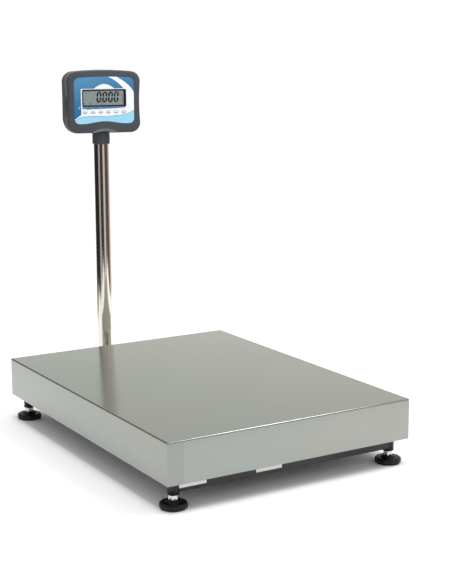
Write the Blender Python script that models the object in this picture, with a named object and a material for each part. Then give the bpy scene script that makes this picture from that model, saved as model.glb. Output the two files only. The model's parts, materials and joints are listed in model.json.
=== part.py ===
"""Bench scale: stainless platter on a single load cell, with an indicator on a column.

Frame: +X to the right of a person at the front edge, +Y from the front edge to the back, +Z up.
The origin is the middle of the object's footprint, on the floor. All sizes are in metres.
"""

import math

import bmesh
import bpy
from mathutils import Vector

# ------------------------------------------------------------------ driving sizes
FIT_GAP = 0.0003            # air left between two pieces that touch
SLIDE_GAP = 0.00015         # radial air between a shaft and its bore
CUT_PAST = 0.010            # how far a cutter runs past the face it opens

PLATTER_WIDTH = 0.600
PLATTER_DEPTH = 0.800
SKIRT_HEIGHT = 0.090
PLATTER_SHEET = 0.0015
PLATTER_BEND = 0.0035       # outer bend radius along the top edges
PLATTER_CORNER = 0.0030     # outer radius of the upright corners

FOOT_INSET_X = 0.0307       # foot axis from the platter's side
FOOT_INSET_Y = 0.0334       # foot axis from the platter's front or back
FOOT_PAD_RADIUS = 0.0290
FOOT_PAD_HEIGHT = 0.0170
FOOT_PAD_CHAMFER = 0.0020
FOOT_PAD_RIM = 0.0105       # top of the pad's upright side
FOOT_PAD_SHOULDER = 0.0015
FOOT_HUB_RADIUS = 0.0145
FOOT_HUB_FLARE = 0.0035     # how much wider the hub is at its root
FOOT_HUB_ROOT = 0.0142      # height of the hub's root
FOOT_STUD_SEAT = 0.0077     # bottom of the stud's socket in the pad
FOOT_THREAD_RADIUS = 0.0060
FOOT_NUT_FLATS = 0.0190
FOOT_NUT_HEIGHT = 0.0108
FOOT_BOSS_RADIUS = 0.0125
FOOT_BOSS_DROP = 0.0060     # the boss stands this far below the base bars
FOOT_TRAVEL = 0.0120        # how far a foot can be wound out

BASE_BAR_WIDTH = 0.025
BASE_HEIGHT = 0.040
BASE_WALL = 0.0025
BASE_CORNER = 0.0030
BASE_SPINE_WIDTH = 0.080

CELL_LENGTH = 0.150
CELL_WIDTH = 0.050
CELL_HEIGHT = 0.034
CELL_CORNER = 0.0020
CELL_BEAN_RADIUS = 0.0110   # the two round windows that let the cell bend
CELL_BEAN_PITCH = 0.034
CELL_SPACER_HEIGHT = 0.0030
CELL_SPACER_LENGTH = 0.045
CELL_BOLT_PITCH = 0.024
CELL_BOLT_RADIUS = 0.0040
CELL_BOLT_INSET = 0.0220    # bolt line from the cell's end
CELL_BOLT_DEPTH = 0.0110
BOLT_HEAD_RADIUS = 0.0070
BOLT_HEAD_HEIGHT = 0.0040

LOAD_FRAME_HEIGHT = 0.0255
LOAD_SPINE_WIDTH = 0.060
LOAD_BAR_WIDTH = 0.040
LOAD_BAR_INSET_X = 0.020    # end of a load bar from the platter's inner side
LOAD_BAR_INSET_Y = 0.048    # middle of a load bar from the platter's front or back
LOAD_WALL = 0.0020
BUFFER_RADIUS = 0.0125
BUFFER_HEIGHT = 0.0045
BUFFER_INSET = 0.024        # buffer axis from the end of its load bar
STOP_RADIUS = 0.0040
STOP_HEAD_RADIUS = 0.0075
STOP_HEAD_HEIGHT = 0.0055
STOP_GAP = 0.0020           # free travel before an overload stop takes the load
STOP_INSET_X = 0.085        # stop axis from the platter's side

COLUMN_BEHIND = 0.088       # column axis from the platter's back edge
COLUMN_RADIUS = 0.0190
COLUMN_WALL = 0.0015
COLUMN_TOP = 0.6535         # above the floor
BRACKET_WIDTH = 0.070
BRACKET_HEIGHT = 0.020
BRACKET_WALL = 0.0025
BRACKET_HOLE_RADIUS = 0.0045
FLANGE_LENGTH = 0.090
FLANGE_WIDTH = 0.080
FLANGE_HEIGHT = 0.0050
FLANGE_CORNER = 0.0060
SOCKET_WALL = 0.0040
SOCKET_HEIGHT = 0.056
SOCKET_SCREW_RADIUS = 0.0030
SOCKET_SCREW_HEAD = 0.0050
SOCKET_SCREW_LEVELS = (0.018, 0.042)
VIAL_RADIUS = 0.0080
VIAL_HEIGHT = 0.0070

CABLE_RADIUS = 0.0025
CABLE_BORE_RADIUS = 0.0050
CABLE_LIFT = 0.0015         # air under the cable where it lies on steel

SWIVEL_REST = math.radians(-12.7)   # the indicator is turned to its left by this much
COLLAR_RADIUS = 0.0222
COLLAR_HEIGHT = 0.0330
COLLAR_EDGE = 0.0010        # eased edges of the collar and the plug
SPIGOT_LENGTH = 0.050
NECK_WIDTH = 0.030
NECK_DEPTH = 0.014
NECK_ROOT = 0.005           # how far the neck runs down into the collar
TILT_RISE = 0.068           # tilt axis above the column's top
TILT_PIN_RADIUS = 0.0030

CASE_WIDTH = 0.197
CASE_HEIGHT = 0.1565
CASE_RISE = 0.0300          # underside of the casing above the column's top
CASE_FRONT = 0.045          # face in front of the column axis
CASE_SPLIT = 0.010          # joint of the two shells in front of the column axis
CASE_BACK = 0.023           # back of the casing behind the column axis
CASE_CROWN = 0.006
CASE_WAIST = 0.0045
CASE_TOP_RADIUS = 0.020
CASE_BOTTOM_RADIUS = 0.024
CASE_WALL = 0.0025
CASE_FACE = 0.0025
BEZEL_PROFILE = (           # depth behind the face, and how far the outline is set in there
    (0, 0.0085), (0.0010, 0.0050), (0.0035, 0.0020), (0.0080, 0.0003), (0.0140, 0),
)
FACE_HOLLOW_PROFILE = (     # depth behind the face's inside, and how far the hollow is set in there
    (0, 0.0100), (0.0040, 0.0045), (0.0100, CASE_WALL),
)
POCKET_WIDTH = 0.048
POCKET_TOP = 0.012          # above the tilt axis
POCKET_FRONT = 0.018        # upper stage, in front of the tilt axis
POCKET_MOUTH_FRONT = 0.037  # lower stage
POCKET_MOUTH_HEIGHT = 0.0205
ARCH_WIDTH = 0.066
ARCH_HEIGHT = 0.0105
ARCH_SLOPE = math.radians(38)
REAR_LIFT = 0.020           # the casing's back edge slants up this far at the bottom
REAR_PROFILE = (            # distance from the back, inset, and rise of the lower edge there
    (0.0120, 0.0015, 0.004), (0.0045, 0.0050, 0.014),
)
REAR_EDGE_INSET = 0.0120    # inset of the flat back
POST_RADIUS = 0.0035
POST_INSET = 0.005          # post axis from the board's edges
CASE_CORNER_LEAST = 0.004   # smallest corner radius of a set-in outline

PANEL_SIDE_BORDER = 0.0220  # casing shown beside, above and below the panel
PANEL_TOP_BORDER = 0.016
PANEL_BOTTOM_BORDER = 0.0235
PANEL_RADIUS = 0.013
PANEL_CROWN = 0.003
PANEL_HUMP = 0.006
PANEL_HUMP_WIDTH = 0.056
PANEL_THICKNESS = 0.0009
PANEL_RECESS = 0.0012
WINDOW_WIDTH = 0.112
WINDOW_HEIGHT = 0.0425
WINDOW_RISE = 0.00925         # middle of the window above the casing's middle
WINDOW_RADIUS = 0.003
WINDOW_THICKNESS = 0.0020

KEY_COUNT = 6
KEY_PITCH = 0.0198
KEY_DROP = 0.0325           # key row below the window's middle
KEY_RADIUS = 0.0063
KEY_CLEARANCE = 0.0002
KEY_PROUD = 0.0004
KEY_STEM_RADIUS = 0.0030
KEY_STEM_LENGTH = 0.0060    # behind the cap
SWITCH_HEIGHT = 0.0012      # room for a switch between a stem and the board
KEY_TRAVEL = 0.00045        # how far a key goes in before its cap meets the face
KEY_EDGE = 0.0003           # eased edge of a key

LCD_WIDTH = 0.118
LCD_HEIGHT = 0.048
LCD_THICKNESS = 0.0030
BOARD_SIDE_ROOM = 0.0165    # board edge from the casing's inner side
BOARD_TOP_ROOM = 0.024      # board edge from the casing's top
BOARD_BELOW_KEYS = 0.0135   # board edge from the key row
BOARD_THICKNESS = 0.0016
BATTERY_SIZE = (0.096, 0.014, 0.050)
BATTERY_RISE = 0.012        # underside of the battery above the pocket

ROUND = 32                  # sides of a large round piece
SMALL_ROUND = 16

# ------------------------------------------------------------------ places worked out from them
NUT_BOTTOM = FOOT_PAD_HEIGHT + 2 * FIT_GAP
BOSS_BOTTOM = NUT_BOTTOM + FOOT_NUT_HEIGHT + FIT_GAP
BASE_BOTTOM = BOSS_BOTTOM + FOOT_BOSS_DROP
BASE_TOP = BASE_BOTTOM + BASE_HEIGHT
LOWER_SPACER_BOTTOM = BASE_TOP + FIT_GAP
CELL_BOTTOM = LOWER_SPACER_BOTTOM + CELL_SPACER_HEIGHT + FIT_GAP
CELL_TOP = CELL_BOTTOM + CELL_HEIGHT
UPPER_SPACER_BOTTOM = CELL_TOP + FIT_GAP
LOAD_BOTTOM = UPPER_SPACER_BOTTOM + CELL_SPACER_HEIGHT + FIT_GAP
LOAD_TOP = LOAD_BOTTOM + LOAD_FRAME_HEIGHT
BUFFER_BOTTOM = LOAD_TOP + FIT_GAP
PLATTER_UNDERSIDE = BUFFER_BOTTOM + BUFFER_HEIGHT + FIT_GAP
PLATTER_TOP = PLATTER_UNDERSIDE + PLATTER_SHEET
SKIRT_BOTTOM = PLATTER_TOP - SKIRT_HEIGHT

TOTAL_DEPTH = PLATTER_DEPTH + COLUMN_BEHIND + FLANGE_LENGTH / 2
FRONT_Y = -TOTAL_DEPTH / 2
BACK_Y = FRONT_Y + PLATTER_DEPTH
MIDDLE_Y = FRONT_Y + PLATTER_DEPTH / 2
COLUMN_Y = BACK_Y + COLUMN_BEHIND
FOOT_X = PLATTER_WIDTH / 2 - FOOT_INSET_X
FOOT_REACH_Y = PLATTER_DEPTH / 2 - FOOT_INSET_Y
FLANGE_BOTTOM = BASE_BOTTOM + BRACKET_HEIGHT + FIT_GAP
SOCKET_BOTTOM = FLANGE_BOTTOM + FLANGE_HEIGHT
COLUMN_BOTTOM = SOCKET_BOTTOM + FIT_GAP
TILT_Z = COLUMN_TOP + TILT_RISE
CASE_MIDDLE_Z = COLUMN_TOP + CASE_RISE + CASE_HEIGHT / 2
WINDOW_Z = CASE_MIDDLE_Z + WINDOW_RISE
KEY_Z = WINDOW_Z - KEY_DROP
PANEL_FLOOR = -CASE_FRONT + PANEL_RECESS
FACE_INSIDE = PANEL_FLOOR + CASE_FACE
KEY_FRONT = -CASE_FRONT - KEY_PROUD
KEY_HEIGHT = PANEL_FLOOR - SLIDE_GAP - KEY_TRAVEL - KEY_FRONT
BOARD_FRONT = KEY_FRONT + KEY_HEIGHT + KEY_STEM_LENGTH + SWITCH_HEIGHT
CASE_BOTTOM_Z = CASE_MIDDLE_Z - CASE_HEIGHT / 2
CASE_TOP_Z = CASE_MIDDLE_Z + CASE_HEIGHT / 2
PANEL_WIDTH = CASE_WIDTH - 2 * PANEL_SIDE_BORDER
PANEL_BOTTOM_Z = CASE_BOTTOM_Z + PANEL_BOTTOM_BORDER
PANEL_TOP_Z = CASE_TOP_Z - PANEL_TOP_BORDER
BOARD_WIDTH = CASE_WIDTH - 2 * (CASE_WALL + BOARD_SIDE_ROOM)
BOARD_BOTTOM_Z = KEY_Z - BOARD_BELOW_KEYS
BOARD_TOP_Z = CASE_TOP_Z - BOARD_TOP_ROOM
CASE_AT = (0, 0, -TILT_Z)   # the casing's pieces are drawn at their height above the floor
LOAD_BAR_LENGTH = PLATTER_WIDTH - 2 * (PLATTER_SHEET + LOAD_BAR_INSET_X)
LOAD_BAR_REACH_Y = PLATTER_DEPTH / 2 - LOAD_BAR_INSET_Y

CORNERS = {"front_left": (-1, -1), "front_right": (1, -1), "rear_left": (-1, 1), "rear_right": (1, 1)}


# ------------------------------------------------------------------ materials
def material(name, colour, roughness, metallic=0.0, alpha=1.0):
    """A Principled material with one colour."""
    made = bpy.data.materials.new(name)
    made.use_nodes = True
    shader = made.node_tree.nodes["Principled BSDF"]
    shader.inputs["Base Color"].default_value = (*colour, 1.0)
    shader.inputs["Roughness"].default_value = roughness
    shader.inputs["Metallic"].default_value = metallic
    shader.inputs["Alpha"].default_value = alpha
    made.diffuse_color = (*colour, alpha)
    return made


FINISHES = {
    "brushed_stainless": ((0.40, 0.41, 0.38), 0.34, 1.0),
    "polished_stainless": ((0.62, 0.61, 0.59), 0.12, 1.0),
    "black_powder_coat": ((0.022, 0.021, 0.023), 0.55),
    "zinc": ((0.70, 0.71, 0.72), 0.30, 1.0),
    "cell_aluminium": ((0.62, 0.63, 0.65), 0.38, 1.0),
    "black_rubber": ((0.012, 0.012, 0.013), 0.80),
    "housing_plastic": ((0.060, 0.070, 0.088), 0.42),
    "cover_plastic": ((0.085, 0.088, 0.075), 0.50),
    "panel_film": ((0.10, 0.28, 0.47), 0.35),
    "window_clear": ((0.80, 0.84, 0.82), 0.08, 0.0, 0.35),
    "lcd_glass": ((0.30, 0.33, 0.30), 0.30),
    "key_film": ((0.86, 0.88, 0.90), 0.40),
    "board_green": ((0.03, 0.17, 0.08), 0.45),
    "battery_wrap": ((0.08, 0.10, 0.16), 0.45),
    "cable_jacket": ((0.03, 0.03, 0.03), 0.60),
    "vial_acrylic": ((0.45, 0.62, 0.18), 0.10),
}


# ------------------------------------------------------------------ shape makers
def rounded_rectangle(width, height, radius, steps=3):
    """Points of a rounded rectangle about the origin, anticlockwise from the right side."""
    points = []
    for quarter in range(4):
        sign_x = 1 if quarter in (0, 3) else -1
        sign_y = 1 if quarter in (0, 1) else -1
        centre = Vector((sign_x * (width / 2 - radius), sign_y * (height / 2 - radius)))
        for step in range(steps + 1):
            angle = (quarter + step / steps) * math.pi / 2
            points.append(centre + radius * Vector((math.cos(angle), math.sin(angle))))
    return points


def circle(radius, count, phase=0.0):
    """Points of a circle about the origin."""
    angles = [phase + 2 * math.pi * step / count for step in range(count)]
    return [Vector((radius * math.cos(angle), radius * math.sin(angle))) for angle in angles]


def loft(rings, closed=False):
    """Skin a row of equal rings, capping the two ends, or joining them when the row is closed."""
    mesh = bmesh.new()
    rows = [[mesh.verts.new(point) for point in ring] for ring in rings]
    pairs = list(zip(rows, rows[1:]))
    if closed:
        pairs.append((rows[-1], rows[0]))
    for lower, upper in pairs:
        for index in range(len(lower)):
            follower = (index + 1) % len(lower)
            mesh.faces.new((lower[index], lower[follower], upper[follower], upper[index]))
    if not closed:
        mesh.faces.new(rows[0])
        mesh.faces.new(rows[-1])
    bmesh.ops.recalc_face_normals(mesh, faces=mesh.faces)
    return mesh


def flat_ring(points, level):
    """Place plane points at a height."""
    return [Vector((point.x, point.y, level)) for point in points]


def prism(points, bottom, top):
    """A straight solid of one outline."""
    return loft([flat_ring(points, bottom), flat_ring(points, top)])


def pipe(outer, inner, bottom, top):
    """A straight tube, open at both ends, between two outlines with equal counts."""
    rings = [flat_ring(outer, bottom), flat_ring(outer, top), flat_ring(inner, top), flat_ring(inner, bottom)]
    return loft(rings, closed=True)


def turned(profile, count):
    """Turn a profile of (radius, height) points about Z; it starts and ends with flat discs."""
    return loft([flat_ring(circle(radius, count), height) for radius, height in profile])


def hexagon(flats):
    """Points of a hexagon, measured across its flats."""
    return circle(flats / math.sqrt(3), 6, math.pi / 6)


def add(name, mesh, finish, parent=None, at=(0, 0, 0), turn=(0, 0, 0), smooth=True):
    """Add a mesh as an object with its own material."""
    data = bpy.data.meshes.new(name)
    mesh.to_mesh(data)
    mesh.free()
    if smooth:
        data.shade_smooth()
        data.set_sharp_from_angle(angle=math.radians(35))
    data.materials.append(material(name + "_finish", *FINISHES[finish]))
    made = bpy.data.objects.new(name, data)
    made.location = at
    made.rotation_euler = turn
    made.parent = parent
    bpy.context.scene.collection.objects.link(made)
    return made


def pivot(name, at, turn=(0, 0, 0), parent=None):
    """An empty on a joint's axis or at an assembly's own origin."""
    made = bpy.data.objects.new(name, None)
    made.location = at
    made.rotation_euler = turn
    made.parent = parent
    bpy.context.scene.collection.objects.link(made)
    return made


def boolean(target, name, mesh, operation="DIFFERENCE", at=(0, 0, 0), turn=(0, 0, 0)):
    """Cut a mesh from an object, or join it on, in that object's own frame."""
    data = bpy.data.meshes.new(name)
    mesh.to_mesh(data)
    mesh.free()
    tool = bpy.data.objects.new(name, data)
    tool.location = at
    tool.rotation_euler = turn
    tool.parent = target
    tool.hide_render = True
    tool.display_type = "WIRE"
    bpy.context.scene.collection.objects.link(tool)
    modifier = target.modifiers.new(name, "BOOLEAN")
    modifier.operation = operation
    modifier.object = tool
    return tool


ALONG_X = (0, math.radians(90), 0)      # a shape made along Z lies along +X
ALONG_Y = (math.radians(-90), 0, 0)     # a shape made along Z lies along +Y


def box_section(width, height, wall, length):
    """A rectangular steel tube along Z, from 0 to its length; height lies along X."""
    outer = rounded_rectangle(height, width, BASE_CORNER)
    inner = rounded_rectangle(height - 2 * wall, width - 2 * wall, max(BASE_CORNER - wall, 0.0005))
    return pipe(outer, inner, 0, length)


# ------------------------------------------------------------------ base
def base_frame():
    """Front and rear bars with the foot bosses at their ends, and the spine between them."""
    bar_length = 2 * (FOOT_X - FOOT_BOSS_RADIUS / 2)
    middle_z = BASE_BOTTOM + BASE_HEIGHT / 2
    for name, side in (("base_front_bar", -1), ("base_rear_bar", 1)):
        bar_y = MIDDLE_Y + side * FOOT_REACH_Y
        mesh = box_section(BASE_BAR_WIDTH, BASE_HEIGHT, BASE_WALL, bar_length)
        bar = add(name, mesh, "black_powder_coat", None, (-bar_length / 2, bar_y, middle_z), ALONG_X)
        for end, along in (("left", bar_length / 2 - FOOT_X), ("right", bar_length / 2 + FOOT_X)):
            cope = prism(circle(FOOT_BOSS_RADIUS + FIT_GAP, ROUND), -BASE_HEIGHT, BASE_HEIGHT)
            boolean(bar, name + "_cope_" + end, cope, at=(0, 0, along), turn=ALONG_X)
    spine_length = 2 * (FOOT_REACH_Y - BASE_BAR_WIDTH / 2 - FIT_GAP)
    mesh = box_section(BASE_HEIGHT, BASE_SPINE_WIDTH, BASE_WALL, spine_length)
    start = (0, MIDDLE_Y - spine_length / 2, middle_z)
    spine = add("base_spine", mesh, "black_powder_coat", None, start, ALONG_Y)
    for index, (bolt_x, bolt_y) in enumerate(cell_bolts(-1)):
        hole = prism(circle(CELL_BOLT_RADIUS + FIT_GAP, SMALL_ROUND), -BASE_HEIGHT, BASE_HEIGHT)
        at = (bolt_x, 0, bolt_y - start[1])
        boolean(spine, f"base_spine_hole_{index + 1}", hole, at=at, turn=ALONG_Y)


def foot_bosses():
    """Threaded bosses at the corners of the base."""
    height = BASE_TOP - BOSS_BOTTOM
    for corner, (side_x, side_y) in CORNERS.items():
        bore = FOOT_THREAD_RADIUS + SLIDE_GAP
        mesh = pipe(circle(FOOT_BOSS_RADIUS, ROUND), circle(bore, ROUND), 0, height)
        at = (side_x * FOOT_X, MIDDLE_Y + side_y * FOOT_REACH_Y, BOSS_BOTTOM)
        add("foot_boss_" + corner, mesh, "black_powder_coat", None, at)


def levelling_feet():
    """A pad with its threaded stud, and the locknut under each boss."""
    stud_bottom = FOOT_STUD_SEAT
    stud_top = BASE_TOP + FOOT_TRAVEL / 2
    radius = FOOT_PAD_RADIUS
    pad_profile = [
        (radius - FOOT_PAD_CHAMFER, 0), (radius, FOOT_PAD_CHAMFER), (radius, FOOT_PAD_RIM),
        (radius - FOOT_PAD_SHOULDER, FOOT_PAD_RIM + FOOT_PAD_SHOULDER),
        (FOOT_HUB_RADIUS + FOOT_HUB_FLARE, FOOT_HUB_ROOT), (FOOT_HUB_RADIUS, FOOT_PAD_HEIGHT),
    ]
    for corner, (side_x, side_y) in CORNERS.items():
        foot_at = (side_x * FOOT_X, MIDDLE_Y + side_y * FOOT_REACH_Y, 0)
        foot = pivot("foot_axis_" + corner, foot_at)
        pad = add("foot_pad_" + corner, turned(pad_profile, ROUND), "black_rubber", foot)
        socket = prism(circle(FOOT_THREAD_RADIUS + FIT_GAP, SMALL_ROUND), stud_bottom, 2 * FOOT_PAD_HEIGHT)
        boolean(pad, "foot_socket_" + corner, socket)
        stud = prism(circle(FOOT_THREAD_RADIUS, SMALL_ROUND), stud_bottom + FIT_GAP, stud_top)
        add("foot_stud_" + corner, stud, "zinc", foot)
        bore = circle(FOOT_THREAD_RADIUS + SLIDE_GAP, SMALL_ROUND)
        nut = add("foot_locknut_" + corner, prism(hexagon(FOOT_NUT_FLATS), 0, FOOT_NUT_HEIGHT), "zinc", None,
                  (foot_at[0], foot_at[1], NUT_BOTTOM), smooth=False)
        boolean(nut, "locknut_bore_" + corner, prism(bore, -FOOT_NUT_HEIGHT, 2 * FOOT_NUT_HEIGHT))


# ------------------------------------------------------------------ load cell and load frame
def cell_bolts(end):
    """Places of the two bolts at one end of the load cell: -1 the base end, 1 the load end."""
    along = MIDDLE_Y + end * (CELL_LENGTH / 2 - CELL_BOLT_INSET)
    return [(-CELL_BOLT_PITCH / 2, along), (CELL_BOLT_PITCH / 2, along)]


def bolt_holes(target, end, label):
    """Cut the bolt holes of one end of the load cell through an upright solid at the origin."""
    for index, (bolt_x, bolt_y) in enumerate(cell_bolts(end)):
        hole = prism(circle(CELL_BOLT_RADIUS + FIT_GAP, SMALL_ROUND), -CELL_LENGTH, CELL_LENGTH)
        offset = (bolt_x, bolt_y - target.location.y, 0)
        boolean(target, f"{target.name}_{label}_{index + 1}", hole, at=offset)


def load_cell():
    """Single-point cell: fixed at its front end, carrying the load frame at its rear end."""
    outline = rounded_rectangle(CELL_WIDTH, CELL_LENGTH, CELL_CORNER)
    at = (0, MIDDLE_Y, CELL_BOTTOM)
    cell = add("load_cell", prism(outline, 0, CELL_HEIGHT), "cell_aluminium", None, at)
    for index, along in enumerate((-CELL_BEAN_PITCH / 2, CELL_BEAN_PITCH / 2)):
        window = prism(circle(CELL_BEAN_RADIUS, SMALL_ROUND), -CELL_WIDTH, CELL_WIDTH)
        boolean(cell, f"cell_window_{index + 1}", window, at=(0, along, CELL_HEIGHT / 2), turn=ALONG_X)
    outline = rounded_rectangle(CELL_BEAN_RADIUS / 2, CELL_BEAN_PITCH, CELL_CORNER / 2)
    slot = prism(outline, -CELL_WIDTH, CELL_WIDTH)
    boolean(cell, "cell_slot", slot, at=(0, 0, CELL_HEIGHT / 2), turn=ALONG_X)
    for end, label, base in ((-1, "base_hole", -CELL_HEIGHT), (1, "load_hole", CELL_HEIGHT)):
        for index, (bolt_x, bolt_y) in enumerate(cell_bolts(end)):
            depth = CELL_BOLT_DEPTH + FIT_GAP
            start, stop = (base, depth) if end < 0 else (CELL_HEIGHT - depth, 2 * base)
            hole = prism(circle(CELL_BOLT_RADIUS + FIT_GAP, SMALL_ROUND), start, stop)
            boolean(cell, f"cell_{label}_{index + 1}", hole, at=(bolt_x, bolt_y - MIDDLE_Y, 0))


def cell_spacers():
    """Packing plates above and below the cell, so that its middle is free to bend."""
    outline = rounded_rectangle(CELL_WIDTH, CELL_SPACER_LENGTH, CELL_CORNER)
    reach = (CELL_LENGTH - CELL_SPACER_LENGTH) / 2
    for name, end, level in (("load_cell_lower_spacer", -1, LOWER_SPACER_BOTTOM),
                             ("load_cell_upper_spacer", 1, UPPER_SPACER_BOTTOM)):
        mesh = prism(outline, 0, CELL_SPACER_HEIGHT)
        spacer = add(name, mesh, "zinc", None, (0, MIDDLE_Y + end * reach, level))
        bolt_holes(spacer, end, "hole")


def cell_bolt_set():
    """Two bolts up through the base spine and two down through the load spine."""
    for end, prefix, head_level, reach in (
            (-1, "load_cell_base_bolt_", BASE_BOTTOM - FIT_GAP, CELL_BOTTOM + CELL_BOLT_DEPTH),
            (1, "load_cell_top_bolt_", LOAD_TOP + FIT_GAP, CELL_TOP - CELL_BOLT_DEPTH)):
        length = abs(reach - head_level)
        profile = [(BOLT_HEAD_RADIUS, -BOLT_HEAD_HEIGHT), (BOLT_HEAD_RADIUS, 0), (CELL_BOLT_RADIUS, 0),
                   (CELL_BOLT_RADIUS, length)]
        turn = (0, 0, 0) if end < 0 else (math.radians(180), 0, 0)
        for index, (bolt_x, bolt_y) in enumerate(cell_bolts(end)):
            mesh = turned(profile, SMALL_ROUND)
            add(f"{prefix}{index + 1}", mesh, "zinc", None, (bolt_x, bolt_y, head_level), turn)


def load_frame():
    """The frame on the load cell that carries the platter."""
    middle_z = LOAD_BOTTOM + LOAD_FRAME_HEIGHT / 2
    for name, side in (("load_front_bar", -1), ("load_rear_bar", 1)):
        mesh = box_section(LOAD_BAR_WIDTH, LOAD_FRAME_HEIGHT, LOAD_WALL, LOAD_BAR_LENGTH)
        at = (-LOAD_BAR_LENGTH / 2, MIDDLE_Y + side * LOAD_BAR_REACH_Y, middle_z)
        add(name, mesh, "black_powder_coat", None, at, ALONG_X)
    length = 2 * (LOAD_BAR_REACH_Y - LOAD_BAR_WIDTH / 2 - FIT_GAP)
    mesh = box_section(LOAD_FRAME_HEIGHT, LOAD_SPINE_WIDTH, LOAD_WALL, length)
    start = (0, MIDDLE_Y - length / 2, middle_z)
    spine = add("load_spine", mesh, "black_powder_coat", None, start, ALONG_Y)
    for index, (bolt_x, bolt_y) in enumerate(cell_bolts(1)):
        hole = prism(circle(CELL_BOLT_RADIUS + FIT_GAP, SMALL_ROUND), -BASE_HEIGHT, BASE_HEIGHT)
        at = (bolt_x, 0, bolt_y - start[1])
        boolean(spine, f"load_spine_hole_{index + 1}", hole, at=at, turn=ALONG_Y)


def buffers_and_stops():
    """Rubber buffers under the platter's corners, and the overload stops under the load bars."""
    buffer_x = LOAD_BAR_LENGTH / 2 - BUFFER_INSET
    stop_x = PLATTER_WIDTH / 2 - STOP_INSET_X
    stop_height = LOAD_BOTTOM - STOP_GAP - BASE_TOP - FIT_GAP
    stop_profile = [
        (STOP_HEAD_RADIUS, 0), (STOP_HEAD_RADIUS, STOP_HEAD_HEIGHT), (STOP_RADIUS, STOP_HEAD_HEIGHT),
        (STOP_RADIUS, stop_height - STOP_HEAD_HEIGHT), (STOP_HEAD_RADIUS, stop_height - STOP_HEAD_HEIGHT),
        (STOP_HEAD_RADIUS, stop_height),
    ]
    for corner, (side_x, side_y) in CORNERS.items():
        mesh = prism(circle(BUFFER_RADIUS, ROUND), 0, BUFFER_HEIGHT)
        at = (side_x * buffer_x, MIDDLE_Y + side_y * LOAD_BAR_REACH_Y, BUFFER_BOTTOM)
        add("platter_buffer_" + corner, mesh, "black_rubber", None, at)
        at = (side_x * stop_x, MIDDLE_Y + side_y * FOOT_REACH_Y, BASE_TOP + FIT_GAP)
        add("overload_stop_" + corner, turned(stop_profile, SMALL_ROUND), "zinc", None, at)


# ------------------------------------------------------------------ platter
def platter():
    """The lift-off pan: a flat top with four skirts, open below."""
    def bend(sheet):
        """Rings of one skin, from the rim to the flat top, set in by the sheet's thickness."""
        width = PLATTER_WIDTH - 2 * sheet
        depth = PLATTER_DEPTH - 2 * sheet
        radius = PLATTER_BEND - sheet
        corner = PLATTER_CORNER - sheet
        rings = [flat_ring(rounded_rectangle(width, depth, corner), 0)]
        for step in range(5):
            angle = step / 4 * math.pi / 2
            inset = radius * (1 - math.cos(angle))
            level = SKIRT_HEIGHT - PLATTER_BEND + radius * math.sin(angle)
            shrunk = rounded_rectangle(width - 2 * inset, depth - 2 * inset, max(corner - inset, 0.0004))
            rings.append(flat_ring(shrunk, level))
        return rings

    mesh = loft(list(reversed(bend(PLATTER_SHEET))) + bend(0))
    lift = pivot("platter_lift_axis", (0, MIDDLE_Y, SKIRT_BOTTOM))
    add("platter", mesh, "brushed_stainless", lift)


# ------------------------------------------------------------------ column
def column_bracket():
    """The flat box section that reaches back under the skirt to the column."""
    start_y = BACK_Y - FOOT_INSET_Y + BASE_BAR_WIDTH / 2 + FIT_GAP
    length = COLUMN_Y + FLANGE_LENGTH / 2 - start_y
    mesh = box_section(BRACKET_HEIGHT, BRACKET_WIDTH, BRACKET_WALL, length)
    at = (0, start_y, BASE_BOTTOM + BRACKET_HEIGHT / 2)
    bracket = add("column_bracket", mesh, "black_powder_coat", None, at, ALONG_Y)
    for name, hole_y in (("cable_entry", cable_drop_y()), ("cable_exit", COLUMN_Y)):
        hole = prism(circle(BRACKET_HOLE_RADIUS, SMALL_ROUND), 0, BRACKET_HEIGHT)
        boolean(bracket, "bracket_" + name, hole, at=(0, 0, hole_y - start_y), turn=(math.radians(90), 0, 0))


def column_socket():
    """Flange with a welded sleeve that holds the column, and its two clamp screws behind."""
    flange = rounded_rectangle(FLANGE_WIDTH, FLANGE_LENGTH, FLANGE_CORNER)
    socket = add("column_socket", prism(flange, 0, FLANGE_HEIGHT), "black_powder_coat", None,
                 (0, COLUMN_Y, FLANGE_BOTTOM))
    sleeve = prism(circle(COLUMN_RADIUS + SLIDE_GAP + SOCKET_WALL, ROUND), FLANGE_HEIGHT / 2,
                   FLANGE_HEIGHT + SOCKET_HEIGHT)
    boolean(socket, "socket_sleeve", sleeve, "UNION")
    bore = prism(circle(COLUMN_RADIUS + SLIDE_GAP, ROUND), FLANGE_HEIGHT, FLANGE_HEIGHT + 2 * SOCKET_HEIGHT)
    boolean(socket, "socket_bore", bore)
    hole = prism(circle(BRACKET_HOLE_RADIUS, SMALL_ROUND), -FLANGE_HEIGHT, 2 * FLANGE_HEIGHT)
    boolean(socket, "socket_cable_hole", hole)
    tip = COLUMN_RADIUS + FIT_GAP
    outside = COLUMN_RADIUS + SLIDE_GAP + SOCKET_WALL + FIT_GAP
    for index, level in enumerate(SOCKET_SCREW_LEVELS):
        hole = prism(circle(SOCKET_SCREW_RADIUS + FIT_GAP, SMALL_ROUND), 0, 2 * COLUMN_RADIUS)
        at = (0, 0, FLANGE_HEIGHT + level)
        boolean(socket, f"socket_screw_hole_{index + 1}", hole, at=at, turn=ALONG_Y)
        profile = [(SOCKET_SCREW_RADIUS, tip), (SOCKET_SCREW_RADIUS, outside), (SOCKET_SCREW_HEAD, outside),
                   (SOCKET_SCREW_HEAD, outside + SOCKET_SCREW_RADIUS)]
        at = (0, COLUMN_Y, SOCKET_BOTTOM + level)
        add(f"column_clamp_screw_{index + 1}", turned(profile, SMALL_ROUND), "zinc", None, at, ALONG_Y)


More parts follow.
